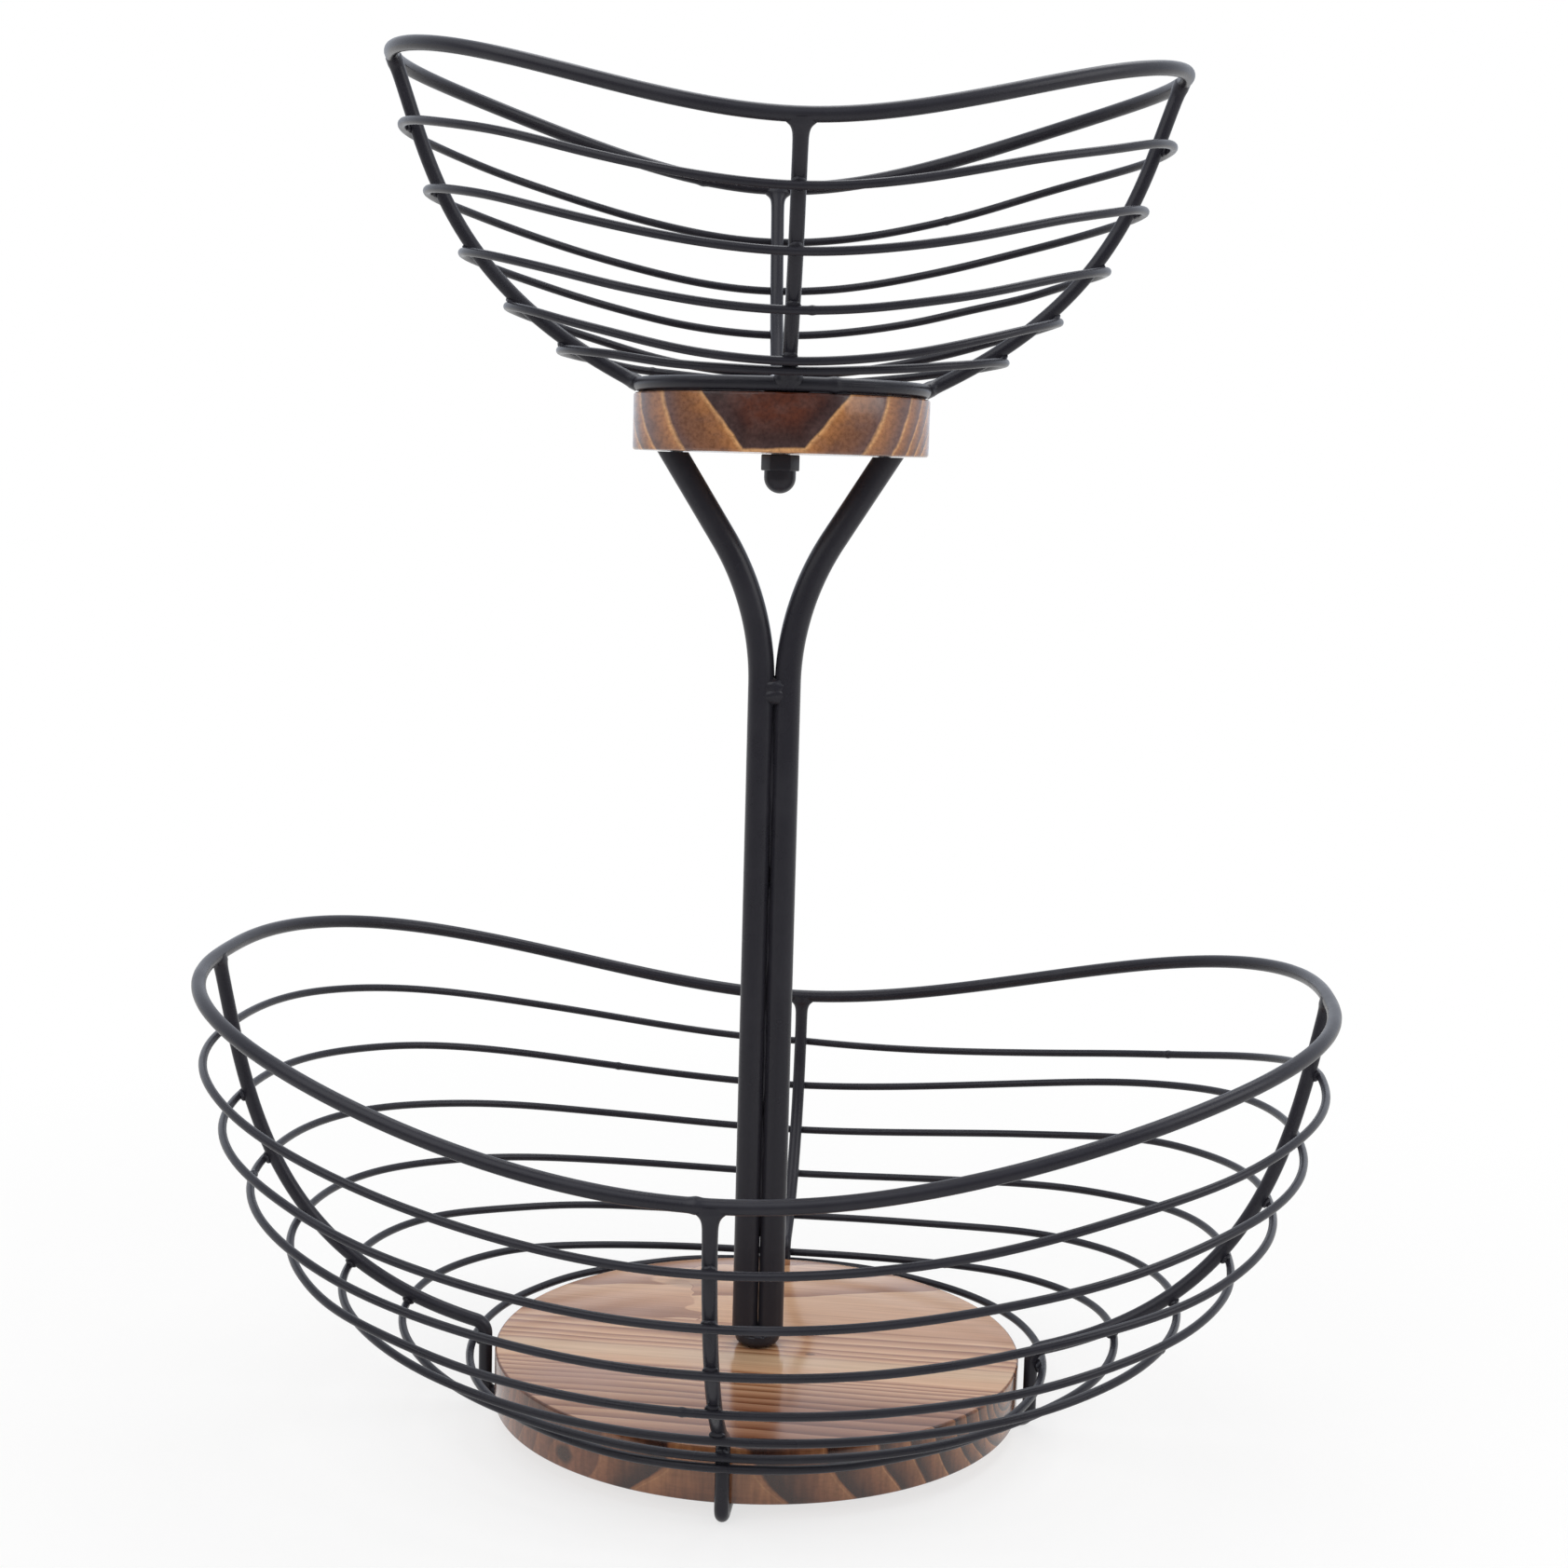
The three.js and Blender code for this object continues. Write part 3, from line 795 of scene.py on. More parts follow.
class Path:
    """A line through points, measured along its length."""

    def __init__(self, points: Sequence[Vector]) -> None:
        """Measure the line.

        Args:
            points: The points that it goes through.
        """
        self.points = points
        steps = ((after - before).length for before, after in zip(points, points[1:]))
        self.marks = [0.0, *accumulate(steps)]

    @property
    def length(self) -> float:
        """The line's length."""
        return self.marks[-1]

    def at(self, distance: float) -> Vector:
        """The point at a distance from the line's start.

        Args:
            distance: The distance along the line.

        Returns:
            The point.
        """
        span = min(max(bisect_left(self.marks, distance), 1), len(self.marks) - 1)
        before, after = self.marks[span - 1 : span + 1]
        return self.points[span - 1].lerp(self.points[span], min((distance - before) / (after - before), 1.0))


class RibCurve(Path):
    """A rib's curve in its plane, x outwards and z upwards."""

    def __init__(self, start: Vector, rim: Vector, shape: RibShape) -> None:
        """Draw the curve.

        Args:
            start: The curve's lower end.
            rim: The centre of the rim's wire.
            shape: The curve's angles and pulls.
        """
        leave = start + polar(shape.start_angle, shape.start_pull)
        arrive = rim - polar(shape.rim_angle, shape.rim_pull)
        super().__init__(interpolate_bezier(start, leave, arrive, rim, CURVE_SAMPLES))

    def along(self, distance: float) -> Vector:
        """The direction at a distance from the curve's start."""
        before, after = (distance + step * self.length / CURVE_SAMPLES for step in (-1, 1))
        return (self.at(min(after, self.length)) - self.at(max(before, 0.0))).normalized()

    def outward(self, drop: float) -> Crossing:
        """The point at a drop below the rim, and the direction out of the basket there."""
        along = self.along(self.length - drop)
        return self.at(self.length - drop), Vector((along.z, 0.0, -along.x))

    def marked(self) -> list[float]:
        """Distances along the curve, closer together near its two ends.

        Returns:
            The distances from the curve's start.
        """
        ends = [RIB_FINE_STEP * step for step in range(int(RIB_FINE_LENGTH / RIB_FINE_STEP))]
        middle = self.length - 2 * RIB_FINE_LENGTH
        plain = int(middle / RIB_STEP)
        marks = ends + [RIB_FINE_LENGTH + middle * step / plain for step in range(plain)]
        return marks + [self.length - mark for mark in reversed(ends)]


@dataclass(frozen=True)
class Saddle:
    """A loop through four stations: oval in plan, high at its ends and low at its sides."""

    end: Vector
    side: Vector
    squareness: float
    ease: float
    sag: float = 0.0
    left_turn: float = 0.0
    wander: float = 0.0
    seed: int = 0

    @property
    def power(self) -> float:
        """The power that squares the oval."""
        return 2.0 / (2.0 + self.squareness)

    def rise(self, reach: float) -> float:
        """The share of the height from the sides to the ends, at a share of the half length."""
        return reach**2 + 2.0 * self.ease * (reach**2 - reach**3)

    def left(self) -> Vector:
        """The loop's left end, where it still meets a left rib that is turned to the front.

        Returns:
            Its distance from the axis and its height.
        """
        turn = math.radians(self.left_turn)
        across = self.end.x * math.sin(turn) / self.side.x
        reach = math.cos(math.asin(across ** (1.0 / self.power))) ** self.power
        height = self.side.z + (self.end.z - self.side.z) / self.rise(reach)
        return Vector((self.end.x * math.cos(turn) / reach, 0.0, height))

    def path(self) -> Path:
        """The loop's centre line.

        Returns:
            The line, from the right end round by the back to the right end.
        """
        left = self.left()
        points = []
        for step in range(LOOP_SAMPLES + 1):
            angle = 2.0 * math.pi * step / LOOP_SAMPLES
            cos, sin = math.cos(angle), math.sin(angle)
            along = math.copysign(abs(cos) ** self.power, cos)
            across = math.copysign(abs(sin) ** self.power, sin)
            tip = left if along < 0.0 else self.end
            hang = self.sag * math.sin(2.0 * angle) if angle < math.pi / 2.0 else 0.0
            free = math.sin(2.0 * angle) ** 2 * self.wander
            height = self.side.z + (tip.z - self.side.z) * self.rise(abs(along)) - hang
            wave = Vector((LOOP_WAVES * cos, LOOP_WAVES * sin, LOOP_SEED_STEP * self.seed))
            height += free * noise.noise(wave)
            points.append(Vector((tip.x * along, self.side.x * across, height)))
        return Path(points)


@dataclass
class Wire:
    """A round wire along a route, with its half widths across its plane and in it at each point."""

    points: list[Vector]
    widths: list[Range]
    closed: bool
    sides: int
    normal: Vector | None = None

    def frames(self) -> list[Matrix]:
        """The place, turn and width of the wire's section at each point of the route.

        Returns:
            One matrix for each point, without twist along the route.
        """
        count = len(self.points)
        directions = []
        for index in range(count):
            before = self.points[index - 1 if self.closed else max(index - 1, 0)]
            after = self.points[(index + 1) % count if self.closed else min(index + 1, count - 1)]
            directions.append((after - before).normalized())
        across = (self.normal or directions[0].orthogonal()).normalized()
        carried = [across.copy()]
        for before, after in zip(directions, directions[1:] + directions[:1]):
            across.rotate(before.rotation_difference(after))
            carried.append(across.copy())
        twist = 0.0
        if self.closed:
            first, last = carried[0], carried[-1]
            twist = math.atan2(directions[0].dot(first.cross(last)), first.dot(last))
        frames = []
        for index, (point, direction, width) in enumerate(zip(self.points, directions, self.widths)):
            side = Matrix.Rotation(-twist * index / count, 3, direction) @ carried[index]
            columns = (side * width[0], direction.cross(side) * width[1], direction * width[0])
            frames.append(Matrix(columns).transposed().to_4x4())
            frames[-1].translation = point
        return frames

    def sweep(self) -> BMesh:
        """Draw the wire by pulling a ring along the route.

        Returns:
            The mesh, closed at its ends or round its loop.
        """
        mesh = bmesh.new()
        frames = self.frames()
        edges = circle(mesh, self.sides, 1.0, frames[0])
        for before, after in zip(frames, frames[1:] + (frames[:1] if self.closed else [])):
            verts, edges = pull(mesh, edges)
            bmesh.ops.transform(mesh, matrix=after @ before.inverted(), verts=verts)
        bmesh.ops.remove_doubles(mesh, verts=mesh.verts, dist=SAME_POINT)
        bmesh.ops.holes_fill(mesh, edges=mesh.edges, sides=self.sides)
        face_outwards(mesh)
        return mesh


def face_outwards(mesh: BMesh) -> None:
    """Turn all faces of a mesh outwards."""
    bmesh.ops.recalc_face_normals(mesh, faces=mesh.faces)


def circle(mesh: BMesh, sides: int, radius: float, place: Matrix) -> list[BMEdge]:
    """Draw an open ring in a mesh and give its edges."""
    ring = bmesh.ops.create_circle(mesh, cap_ends=False, segments=sides, radius=radius, matrix=place)
    return list(dict.fromkeys(edge for vert in ring["verts"] for edge in vert.link_edges))


def pull(mesh: BMesh, edges: list[BMEdge]) -> tuple[list[BMVert], list[BMEdge]]:
    """Extrude a ring of edges where it stands.

    Args:
        mesh: The mesh.
        edges: The ring.

    Returns:
        The points and the edges of the new ring.
    """
    grown = bmesh.ops.extrude_edge_only(mesh, edges=edges)["geom"]
    verts = [item for item in grown if isinstance(item, BMVert)]
    fresh = set(verts)
    return verts, [item for item in grown if isinstance(item, BMEdge) and fresh.issuperset(item.verts)]


def round_wire(path: Path, radius: float, sides: int, steps: int, seam: float) -> Wire:
    """A closed wire of one radius, with a raised butt weld where its ends meet.

    Args:
        path: The wire's centre line, which ends where it starts.
        radius: The wire's radius.
        sides: The number of sides of its section.
        steps: The number of even steps along it.
        seam: The place of the butt weld, as a share of the path's length.

    Returns:
        The wire.
    """
    weld = seam * path.length
    even = [path.length * step / steps for step in range(steps)]
    fine = [weld + SEAM_STEP * step for step in range(-SEAM_STEPS, SEAM_STEPS + 1)]
    marks = sorted(fine + [mark for mark in even if abs(mark - weld) > SEAM_STEP * (SEAM_STEPS + 1)])
    widths = []
    for mark in marks:
        bulge = radius * (1.0 + SEAM_RISE * math.exp(-(((mark - weld) / (SEAM_SPREAD * radius)) ** 2)))
        widths.append((bulge, bulge))
    return Wire([path.at(mark) for mark in marks], widths, True, sides)


def add_weld(mesh: BMesh, place: Vector, axes: Sequence[Vector], size: Triple) -> None:
    """Add an uneven lump of weld metal.

    Args:
        mesh: The mesh that it joins.
        place: The middle of the lump.
        axes: The three directions of its sizes.
        size: Its half sizes along them.
    """
    section = Matrix([axis * half for axis, half in zip(axes, size)]).transposed().to_4x4()
    section.translation = place
    verts = bmesh.ops.create_icosphere(mesh, subdivisions=WELD_DIVISIONS, radius=1.0, matrix=section)["verts"]
    for vert in verts:
        vert.co += (vert.co - place) * WELD_UNEVENNESS * noise.noise(vert.co * WELD_WAVES)


def turned(profile: Profile, steps: int = TURNED_STEPS, ring: bool = False) -> BMesh:
    """A round piece, turned about Z.

    Args:
        profile: Radius and height of each corner.
        steps: The number of steps round the piece.
        ring: Whether the profile closes on itself.

    Returns:
        The mesh.
    """
    mesh = bmesh.new()
    verts = [mesh.verts.new((radius, 0.0, height)) for radius, height in profile]
    edges = [mesh.edges.new(pair) for pair in zip(verts, verts[1:] + (verts[:1] if ring else []))]
    bmesh.ops.spin(
        mesh,
        geom=verts + edges,
        cent=(0.0, 0.0, 0.0),
        axis=UP,
        angle=2.0 * math.pi,
        steps=steps,
        use_merge=True,
    )
    bmesh.ops.remove_doubles(mesh, verts=mesh.verts, dist=SAME_POINT)
    face_outwards(mesh)
    return mesh


def soften(mesh: BMesh, offset: float, segments: int = 3) -> None:
    """Round the sharp edges of a mesh.

    Args:
        mesh: The mesh.
        offset: The width of the rounding.
        segments: The number of steps across it.
    """
    sharp = [edge for edge in mesh.edges if edge.is_manifold and edge.calc_face_angle() > SHARP_FOLD]
    bmesh.ops.bevel(
        mesh,
        geom=sharp,
        offset=offset,
        offset_type="OFFSET",
        segments=segments,
        profile=0.5,
        affect="EDGES",
        material=-1,
        clamp_overlap=True,
    )
    face_outwards(mesh)


def board_blank(radius: float, hole: float, bottom: float, stock: Stock) -> BMesh:
    """A round board with rounded edges.

    Args:
        radius: The board's radius.
        hole: The radius of the hole in its middle.
        bottom: The height of its underside.
        stock: The stock that gives its thickness and rounding.

    Returns:
        The mesh.
    """
    top = bottom + stock.board_thickness
    mesh = turned(((hole, bottom), (radius, bottom), (radius, top), (hole, top)), BOARD_STEPS, ring=True)
    soften(mesh, stock.board_round, segments=4)
    return mesh


@dataclass(frozen=True)
class DriveSocket:
    """A six-sided socket for a key: the radius of its corners and the rise of its floor."""

    corner: float
    rise: float

    def cut(self, mesh: BMesh, height: float) -> None:
        """Close a turned fastener's open head with this socket.

        Args:
            mesh: The fastener, open round the socket.
            height: The height of the head's face.
        """
        outer = [edge for edge in mesh.edges if edge.is_boundary]
        inner = circle(mesh, HEXAGON, self.corner, Matrix.Translation((0.0, 0.0, height)))
        bmesh.ops.bridge_loops(mesh, edges=outer + inner)
        verts, floor = pull(mesh, inner)
        bmesh.ops.translate(mesh, vec=(0.0, 0.0, self.rise), verts=verts)
        bmesh.ops.contextual_create(mesh, geom=floor)
        face_outwards(mesh)


def merge(target: BMesh, other: BMesh) -> BMesh:
    """Join a mesh into another one.

    Args:
        target: The mesh that keeps both.
        other: The mesh that goes into it.

    Returns:
        The joined mesh.
    """
    carrier = bpy.data.meshes.new("carrier")
    other.to_mesh(carrier)
    other.free()
    target.from_mesh(carrier)
    bpy.data.meshes.remove(carrier)
    return target


def put(mesh: BMesh, place: Matrix) -> BMesh:
    """Move a mesh's points to their place on the object."""
    bmesh.ops.transform(mesh, matrix=place, verts=mesh.verts)
    return mesh


def cut_out(piece: bpy.types.Object, tool: BMesh) -> None:
    """Cut a shape out of a piece.

    Args:
        piece: The piece.
        tool: The shape that is cut out.
    """
    data = bpy.data.meshes.new("tool")
    tool.to_mesh(data)
    tool.free()
    cutter = bpy.data.objects.new("tool", data)
    bpy.context.scene.collection.objects.link(cutter)
    modifier = piece.modifiers.new("cut", "BOOLEAN")
    modifier.operation = "DIFFERENCE"
    modifier.solver = "EXACT"
    modifier.object = cutter
    bpy.context.view_layer.update()
    evaluated = piece.evaluated_get(bpy.context.evaluated_depsgraph_get())
    plain = piece.data
    piece.data = bpy.data.meshes.new_from_object(evaluated)
    piece.modifiers.clear()
    bpy.data.objects.remove(cutter)
    bpy.data.meshes.remove(data)
    bpy.data.meshes.remove(plain)
    piece.data.set_sharp_from_angle(angle=SHARP_ANGLE)


@dataclass
class Bench:
    """Where finished meshes become pieces of the object."""

    finishes: Finishes
    pieces: list[bpy.types.Object] = field(default_factory=list)

    def install(self, node: str, ending: str, mesh: BMesh, body: Body, slot: Slot) -> bpy.types.Object:
        """Make a piece from a mesh.

        Args:
            node: The CAD node that it stands for, which starts its name.
            ending: The rest of its name.
            mesh: Its mesh, in place.
            body: The body that it rides on.
            slot: The finish that it takes.

        Returns:
            The piece.
        """
        name = f"{node}_{ending}"
        data = bpy.data.meshes.new(name)
        mesh.to_mesh(data)
        mesh.free()
        data.materials.append(self.finishes.materials[slot])
        data.shade_smooth()
        data.set_sharp_from_angle(angle=SHARP_ANGLE)
        piece = bpy.data.objects.new(name, data)
        bpy.context.scene.collection.objects.link(piece)
        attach(piece, body.value)
        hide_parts(node)
        self.pieces.append(piece)
        LOG.info("%s on %s, %d faces", name, body.value, len(data.polygons))
        return piece


# The baskets


@dataclass(frozen=True)
class RibWelds:
    """The fillets and lumps of weld metal on a rib."""

    flare: float = 0.0021
    flare_length: float = 0.0012
    flare_across: float = 0.16
    lump: Triple = (0.0023, 0.0021, 0.0012)
    foot: Triple = (0.0029, 0.0021, 0.0016)
    foot_shift: float = 0.0004

    def width(self, radius: float, away: float) -> Range:
        """A rib's half widths along the wire that it butts against and across it, at a distance from it."""
        share = math.exp(-max(away, 0.0) / self.flare_length)
        return radius + self.flare * share, radius + self.flare_across * self.flare * share


@dataclass
class WireBasket(ABC):
    """What both baskets are made of: a rim and thin loops, welded to four ribs."""

    bench: Bench
    tier: str
    body: Body
    end: Station
    side: Station
    loop_count: int
    squareness: float
    ease: float
    wander: float
    first_seed: int
    rim_seam: float
    loop_seams: Range
    first_loop_sag: float = 0.0
    left_turn: float = 0.0
    feet: bool = False
    stock: Stock = Stock()
    welds: RibWelds = RibWelds()

    @property
    def placed(self) -> Matrix:
        """The basket's place on the object."""
        return Matrix()

    @property
    def base(self) -> float:
        """The height that the rim's heights are measured from."""
        return 0.0

    @abstractmethod
    def rib_start(self, side: Side) -> Vector:
        """The lower end of the rib's curve on one side."""

    @abstractmethod
    def rib_route(self, side: Side) -> Route:
        """The points of the rib on one side, and its half widths at them."""

    @abstractmethod
    def low_crossings(self, side: Side) -> list[Crossing]:
        """The crossings of a rib by the lowest loops, which leave the even run."""

    @abstractmethod
    def build_base(self) -> None:
        """Build the pieces that the ribs stand on or round."""

    def station(self, side: Side) -> Station:
        """The sizes of one side."""
        return self.end if side.at_end else self.side

    def rim_at(self, side: Side) -> Vector:
        """The centre of the rim's wire on one side, in the rib's plane."""
        return Vector((self.station(side).reach, 0.0, self.base + self.station(side).height))

    def curve(self, side: Side) -> RibCurve:
        """The curve of the rib on one side."""
        return RibCurve(self.rib_start(side), self.rim_at(side), self.station(side).rib)

    def crossings(self, side: Side) -> list[Crossing]:
        """Each loop's crossing of a rib, from the rim down.

        Args:
            side: The rib's side.

        Returns:
            The point on the rib's centre line and the direction out of the basket, for each loop.
        """
        curve, station, low = self.curve(side), self.station(side), self.low_crossings(side)
        last = curve.length - station.last_rise - station.last_step
        drops = even_drops(station.first_drop, last, self.loop_count - len(low))
        return [curve.outward(drop) for drop in drops] + low

    def loop_squareness(self, share: float) -> float:
        """How square a loop is, by its share of the way up to the rim."""
        return self.squareness

    def install(self, node: str, ending: str, mesh: BMesh, slot: Slot = Slot.BLACK_COAT) -> None:
        """Put a mesh in its place on the object and make it a piece."""
        self.bench.install(node, ending, put(mesh, self.placed), self.body, slot)

    def rim(self) -> None:
        """Build the rim."""
        stations = (self.rim_at(Side.RIGHT), self.rim_at(Side.FRONT))
        path = Saddle(*stations, self.squareness, self.ease, left_turn=self.left_turn).path()
        wire = round_wire(path, self.stock.frame_radius, FRAME_SIDES, RIM_STEPS, self.rim_seam)
        self.install(f"{self.tier}_rim", "wire", wire.sweep())

    def loops(self) -> None:
        """Build the thin loops."""
        offset = self.stock.loop_offset
        for index, (end, side) in enumerate(zip(self.crossings(Side.RIGHT), self.crossings(Side.FRONT))):
            share = 1.0 - (index + 1) / (self.loop_count + 1)
            saddle = Saddle(
                end[0] + end[1] * offset,
                side[0] + side[1] * offset,
                self.loop_squareness(share),
                self.ease * share,
                sag=self.first_loop_sag if index == 0 else 0.0,
                left_turn=self.left_turn,
                wander=self.wander,
                seed=self.first_seed + index,
            )
            seam = (self.loop_seams[0] + self.loop_seams[1] * index) % 1.0
            wire = round_wire(saddle.path(), self.stock.loop_radius, LOOP_SIDES, LOOP_STEPS, seam)
            self.install(f"{self.tier}_loop_{index + 1}", "wire", wire.sweep())

    def rib(self, side: Side) -> None:
        """Build the rib on one side, with its welds.

        Args:
            side: The rib's side.
        """
        points, widths = self.rib_route(side)
        mesh = Wire(points, widths, False, FRAME_SIDES, ACROSS).sweep()
        for place, outward in self.crossings(side):
            contact = place + outward * self.stock.frame_radius
            add_weld(mesh, contact, (ACROSS, outward.cross(ACROSS), outward), self.welds.lump)
        if self.feet:
            add_weld(mesh, points[0] + OUT * self.welds.foot_shift, (ACROSS, UP, OUT), self.welds.foot)
        if side is Side.LEFT:
            put(mesh, turn_about_z(self.left_turn))
        put(mesh, turn_about_z(side.value))
        self.install(f"{self.tier}_rib_{side.name.lower()}", "wire", mesh)

    def build(self) -> None:
        """Build every piece of the basket."""
        self.rim()
        self.loops()
        for side in Side:
            self.rib(side)
        self.build_base()


@dataclass
class LowerBasket(WireBasket):
    """The lower basket: rim, loops, ribs with feet, hub and board."""

    tier: str = "lower"
    body: Body = Body.LOWER_BASKET
    end: Station = Station(0.1763, 0.1404, RibShape(16.1, 0.0737, 78.3, 0.0424), 0.0245, 0.0227)
    side: Station = Station(0.131, 0.1041, RibShape(24.9, 0.0207, 92.2, 0.0414), 0.0175, 0.013)
    loop_count: int = 7
    squareness: float = 0.46
    ease: float = 0.48
    wander: float = 0.0011
    first_seed: int = 0
    rim_seam: float = 0.7459
    loop_seams: Range = (0.11, 0.21)
    first_loop_sag: float = 0.01
    left_turn: float = 4.0
    feet: bool = True
    lowest_loop: float = 0.0142
    lowest_loop_rise: float = 0.0016
    lowest_loop_space: float = 0.0007
    board_radius: float = 0.0848
    board_play: float = 0.0018
    bend_radius: float = 0.0045
    foot_bend_radius: float = 0.0032
    hub_radius: float = 0.015
    hub_recess: float = 0.00605
    hub_recess_depth: float = 0.0026
    screw_hole: float = 0.0033

    @property
    def base(self) -> float:
        """The height of the board's underside, which the rim's heights are measured from."""
        return 2.0 * self.stock.frame_radius + self.stock.gap

    @property
    def upright(self) -> float:
        """The distance of a rib's upright part from the axis."""
        return self.board_radius + self.board_play + self.stock.frame_radius

    def loop_squareness(self, share: float) -> float:
        """How square a loop is, by its share of the way up to the rim."""
        return self.squareness * share

    def last_loops(self) -> Triple:
        """The heights of the last loop at the sides and ends, and of the loop above it at the sides."""
        side, thick = self.base + self.lowest_loop, 2.0 * self.stock.loop_radius
        return side, side + self.lowest_loop_rise, side + thick + self.lowest_loop_space

    def upright_top(self, side: Side) -> float:
        """The height where a rib's upright part turns outwards."""
        _, last_end, next_side = self.last_loops()
        return (last_end if side.at_end else next_side) + self.stock.loop_radius + self.stock.gap

    def rib_start(self, side: Side) -> Vector:
        """The lower end of the rib's curve on one side, after the bend at the top of its upright part.

        Args:
            side: The rib's side.

        Returns:
            The point in the rib's plane.
        """
        angle = self.station(side).rib.start_angle
        tangent = self.bend_radius * math.tan(math.radians((90.0 - angle) / 2.0))
        return Vector((self.upright, 0.0, self.upright_top(side) + tangent)) + polar(angle, tangent)

    def rib_route(self, side: Side) -> Route:
        """The rib on one side, from the hub along its foot and up to the rim.

        Args:
            side: The rib's side.

        Returns:
            Its points, and its half widths at them.
        """
        radius = self.stock.frame_radius
        curve = self.curve(side)
        foot = Vector((self.upright - self.foot_bend_radius, 0.0, radius + self.foot_bend_radius))
        shoulder = Vector((self.upright + self.bend_radius, 0.0, self.upright_top(side)))
        points = [Vector((self.hub_radius - self.stock.gap, 0.0, radius))]
        points += bend(foot, self.foot_bend_radius, -90.0, 0.0)
        points += bend(shoulder, self.bend_radius, 180.0, 90.0 + self.station(side).rib.start_angle)
        widths = [(radius, radius)] * len(points)
        for mark in curve.marked()[1:]:
            points.append(curve.at(mark))
            widths.append(self.welds.width(radius, curve.length - mark - radius))
        return points, widths

    def low_crossings(self, side: Side) -> list[Crossing]:
        """The crossings of a rib's upright part by the lowest loops, one at the ends and two at the sides.

        Args:
            side: The rib's side.

        Returns:
            The point on the rib's centre line and the direction out of the basket, for each loop.
        """
        last_side, last_end, next_side = self.last_loops()
        heights = (last_end,) if side.at_end else (next_side, last_side)
        return [(Vector((self.upright, 0.0, height)), OUT) for height in heights]

    def build_base(self) -> None:
        """Build the hub that the feet meet at, and the round board."""
        hub, recess, hole = self.hub_radius, self.hub_recess, self.screw_hole
        top, step = 2.0 * self.stock.frame_radius, self.hub_recess_depth
        profile = ((recess, 0.0), (hub, 0.0), (hub, top), (hole, top), (hole, step), (recess, step))
        mesh = turned(profile, ring=True)
        soften(mesh, self.stock.metal_round)
        self.install("lower_hub", "turned", mesh)
        board = board_blank(self.board_radius, hole, self.base, self.stock)
        self.install("lower_board", "round", board, Slot.TAN_PINE)


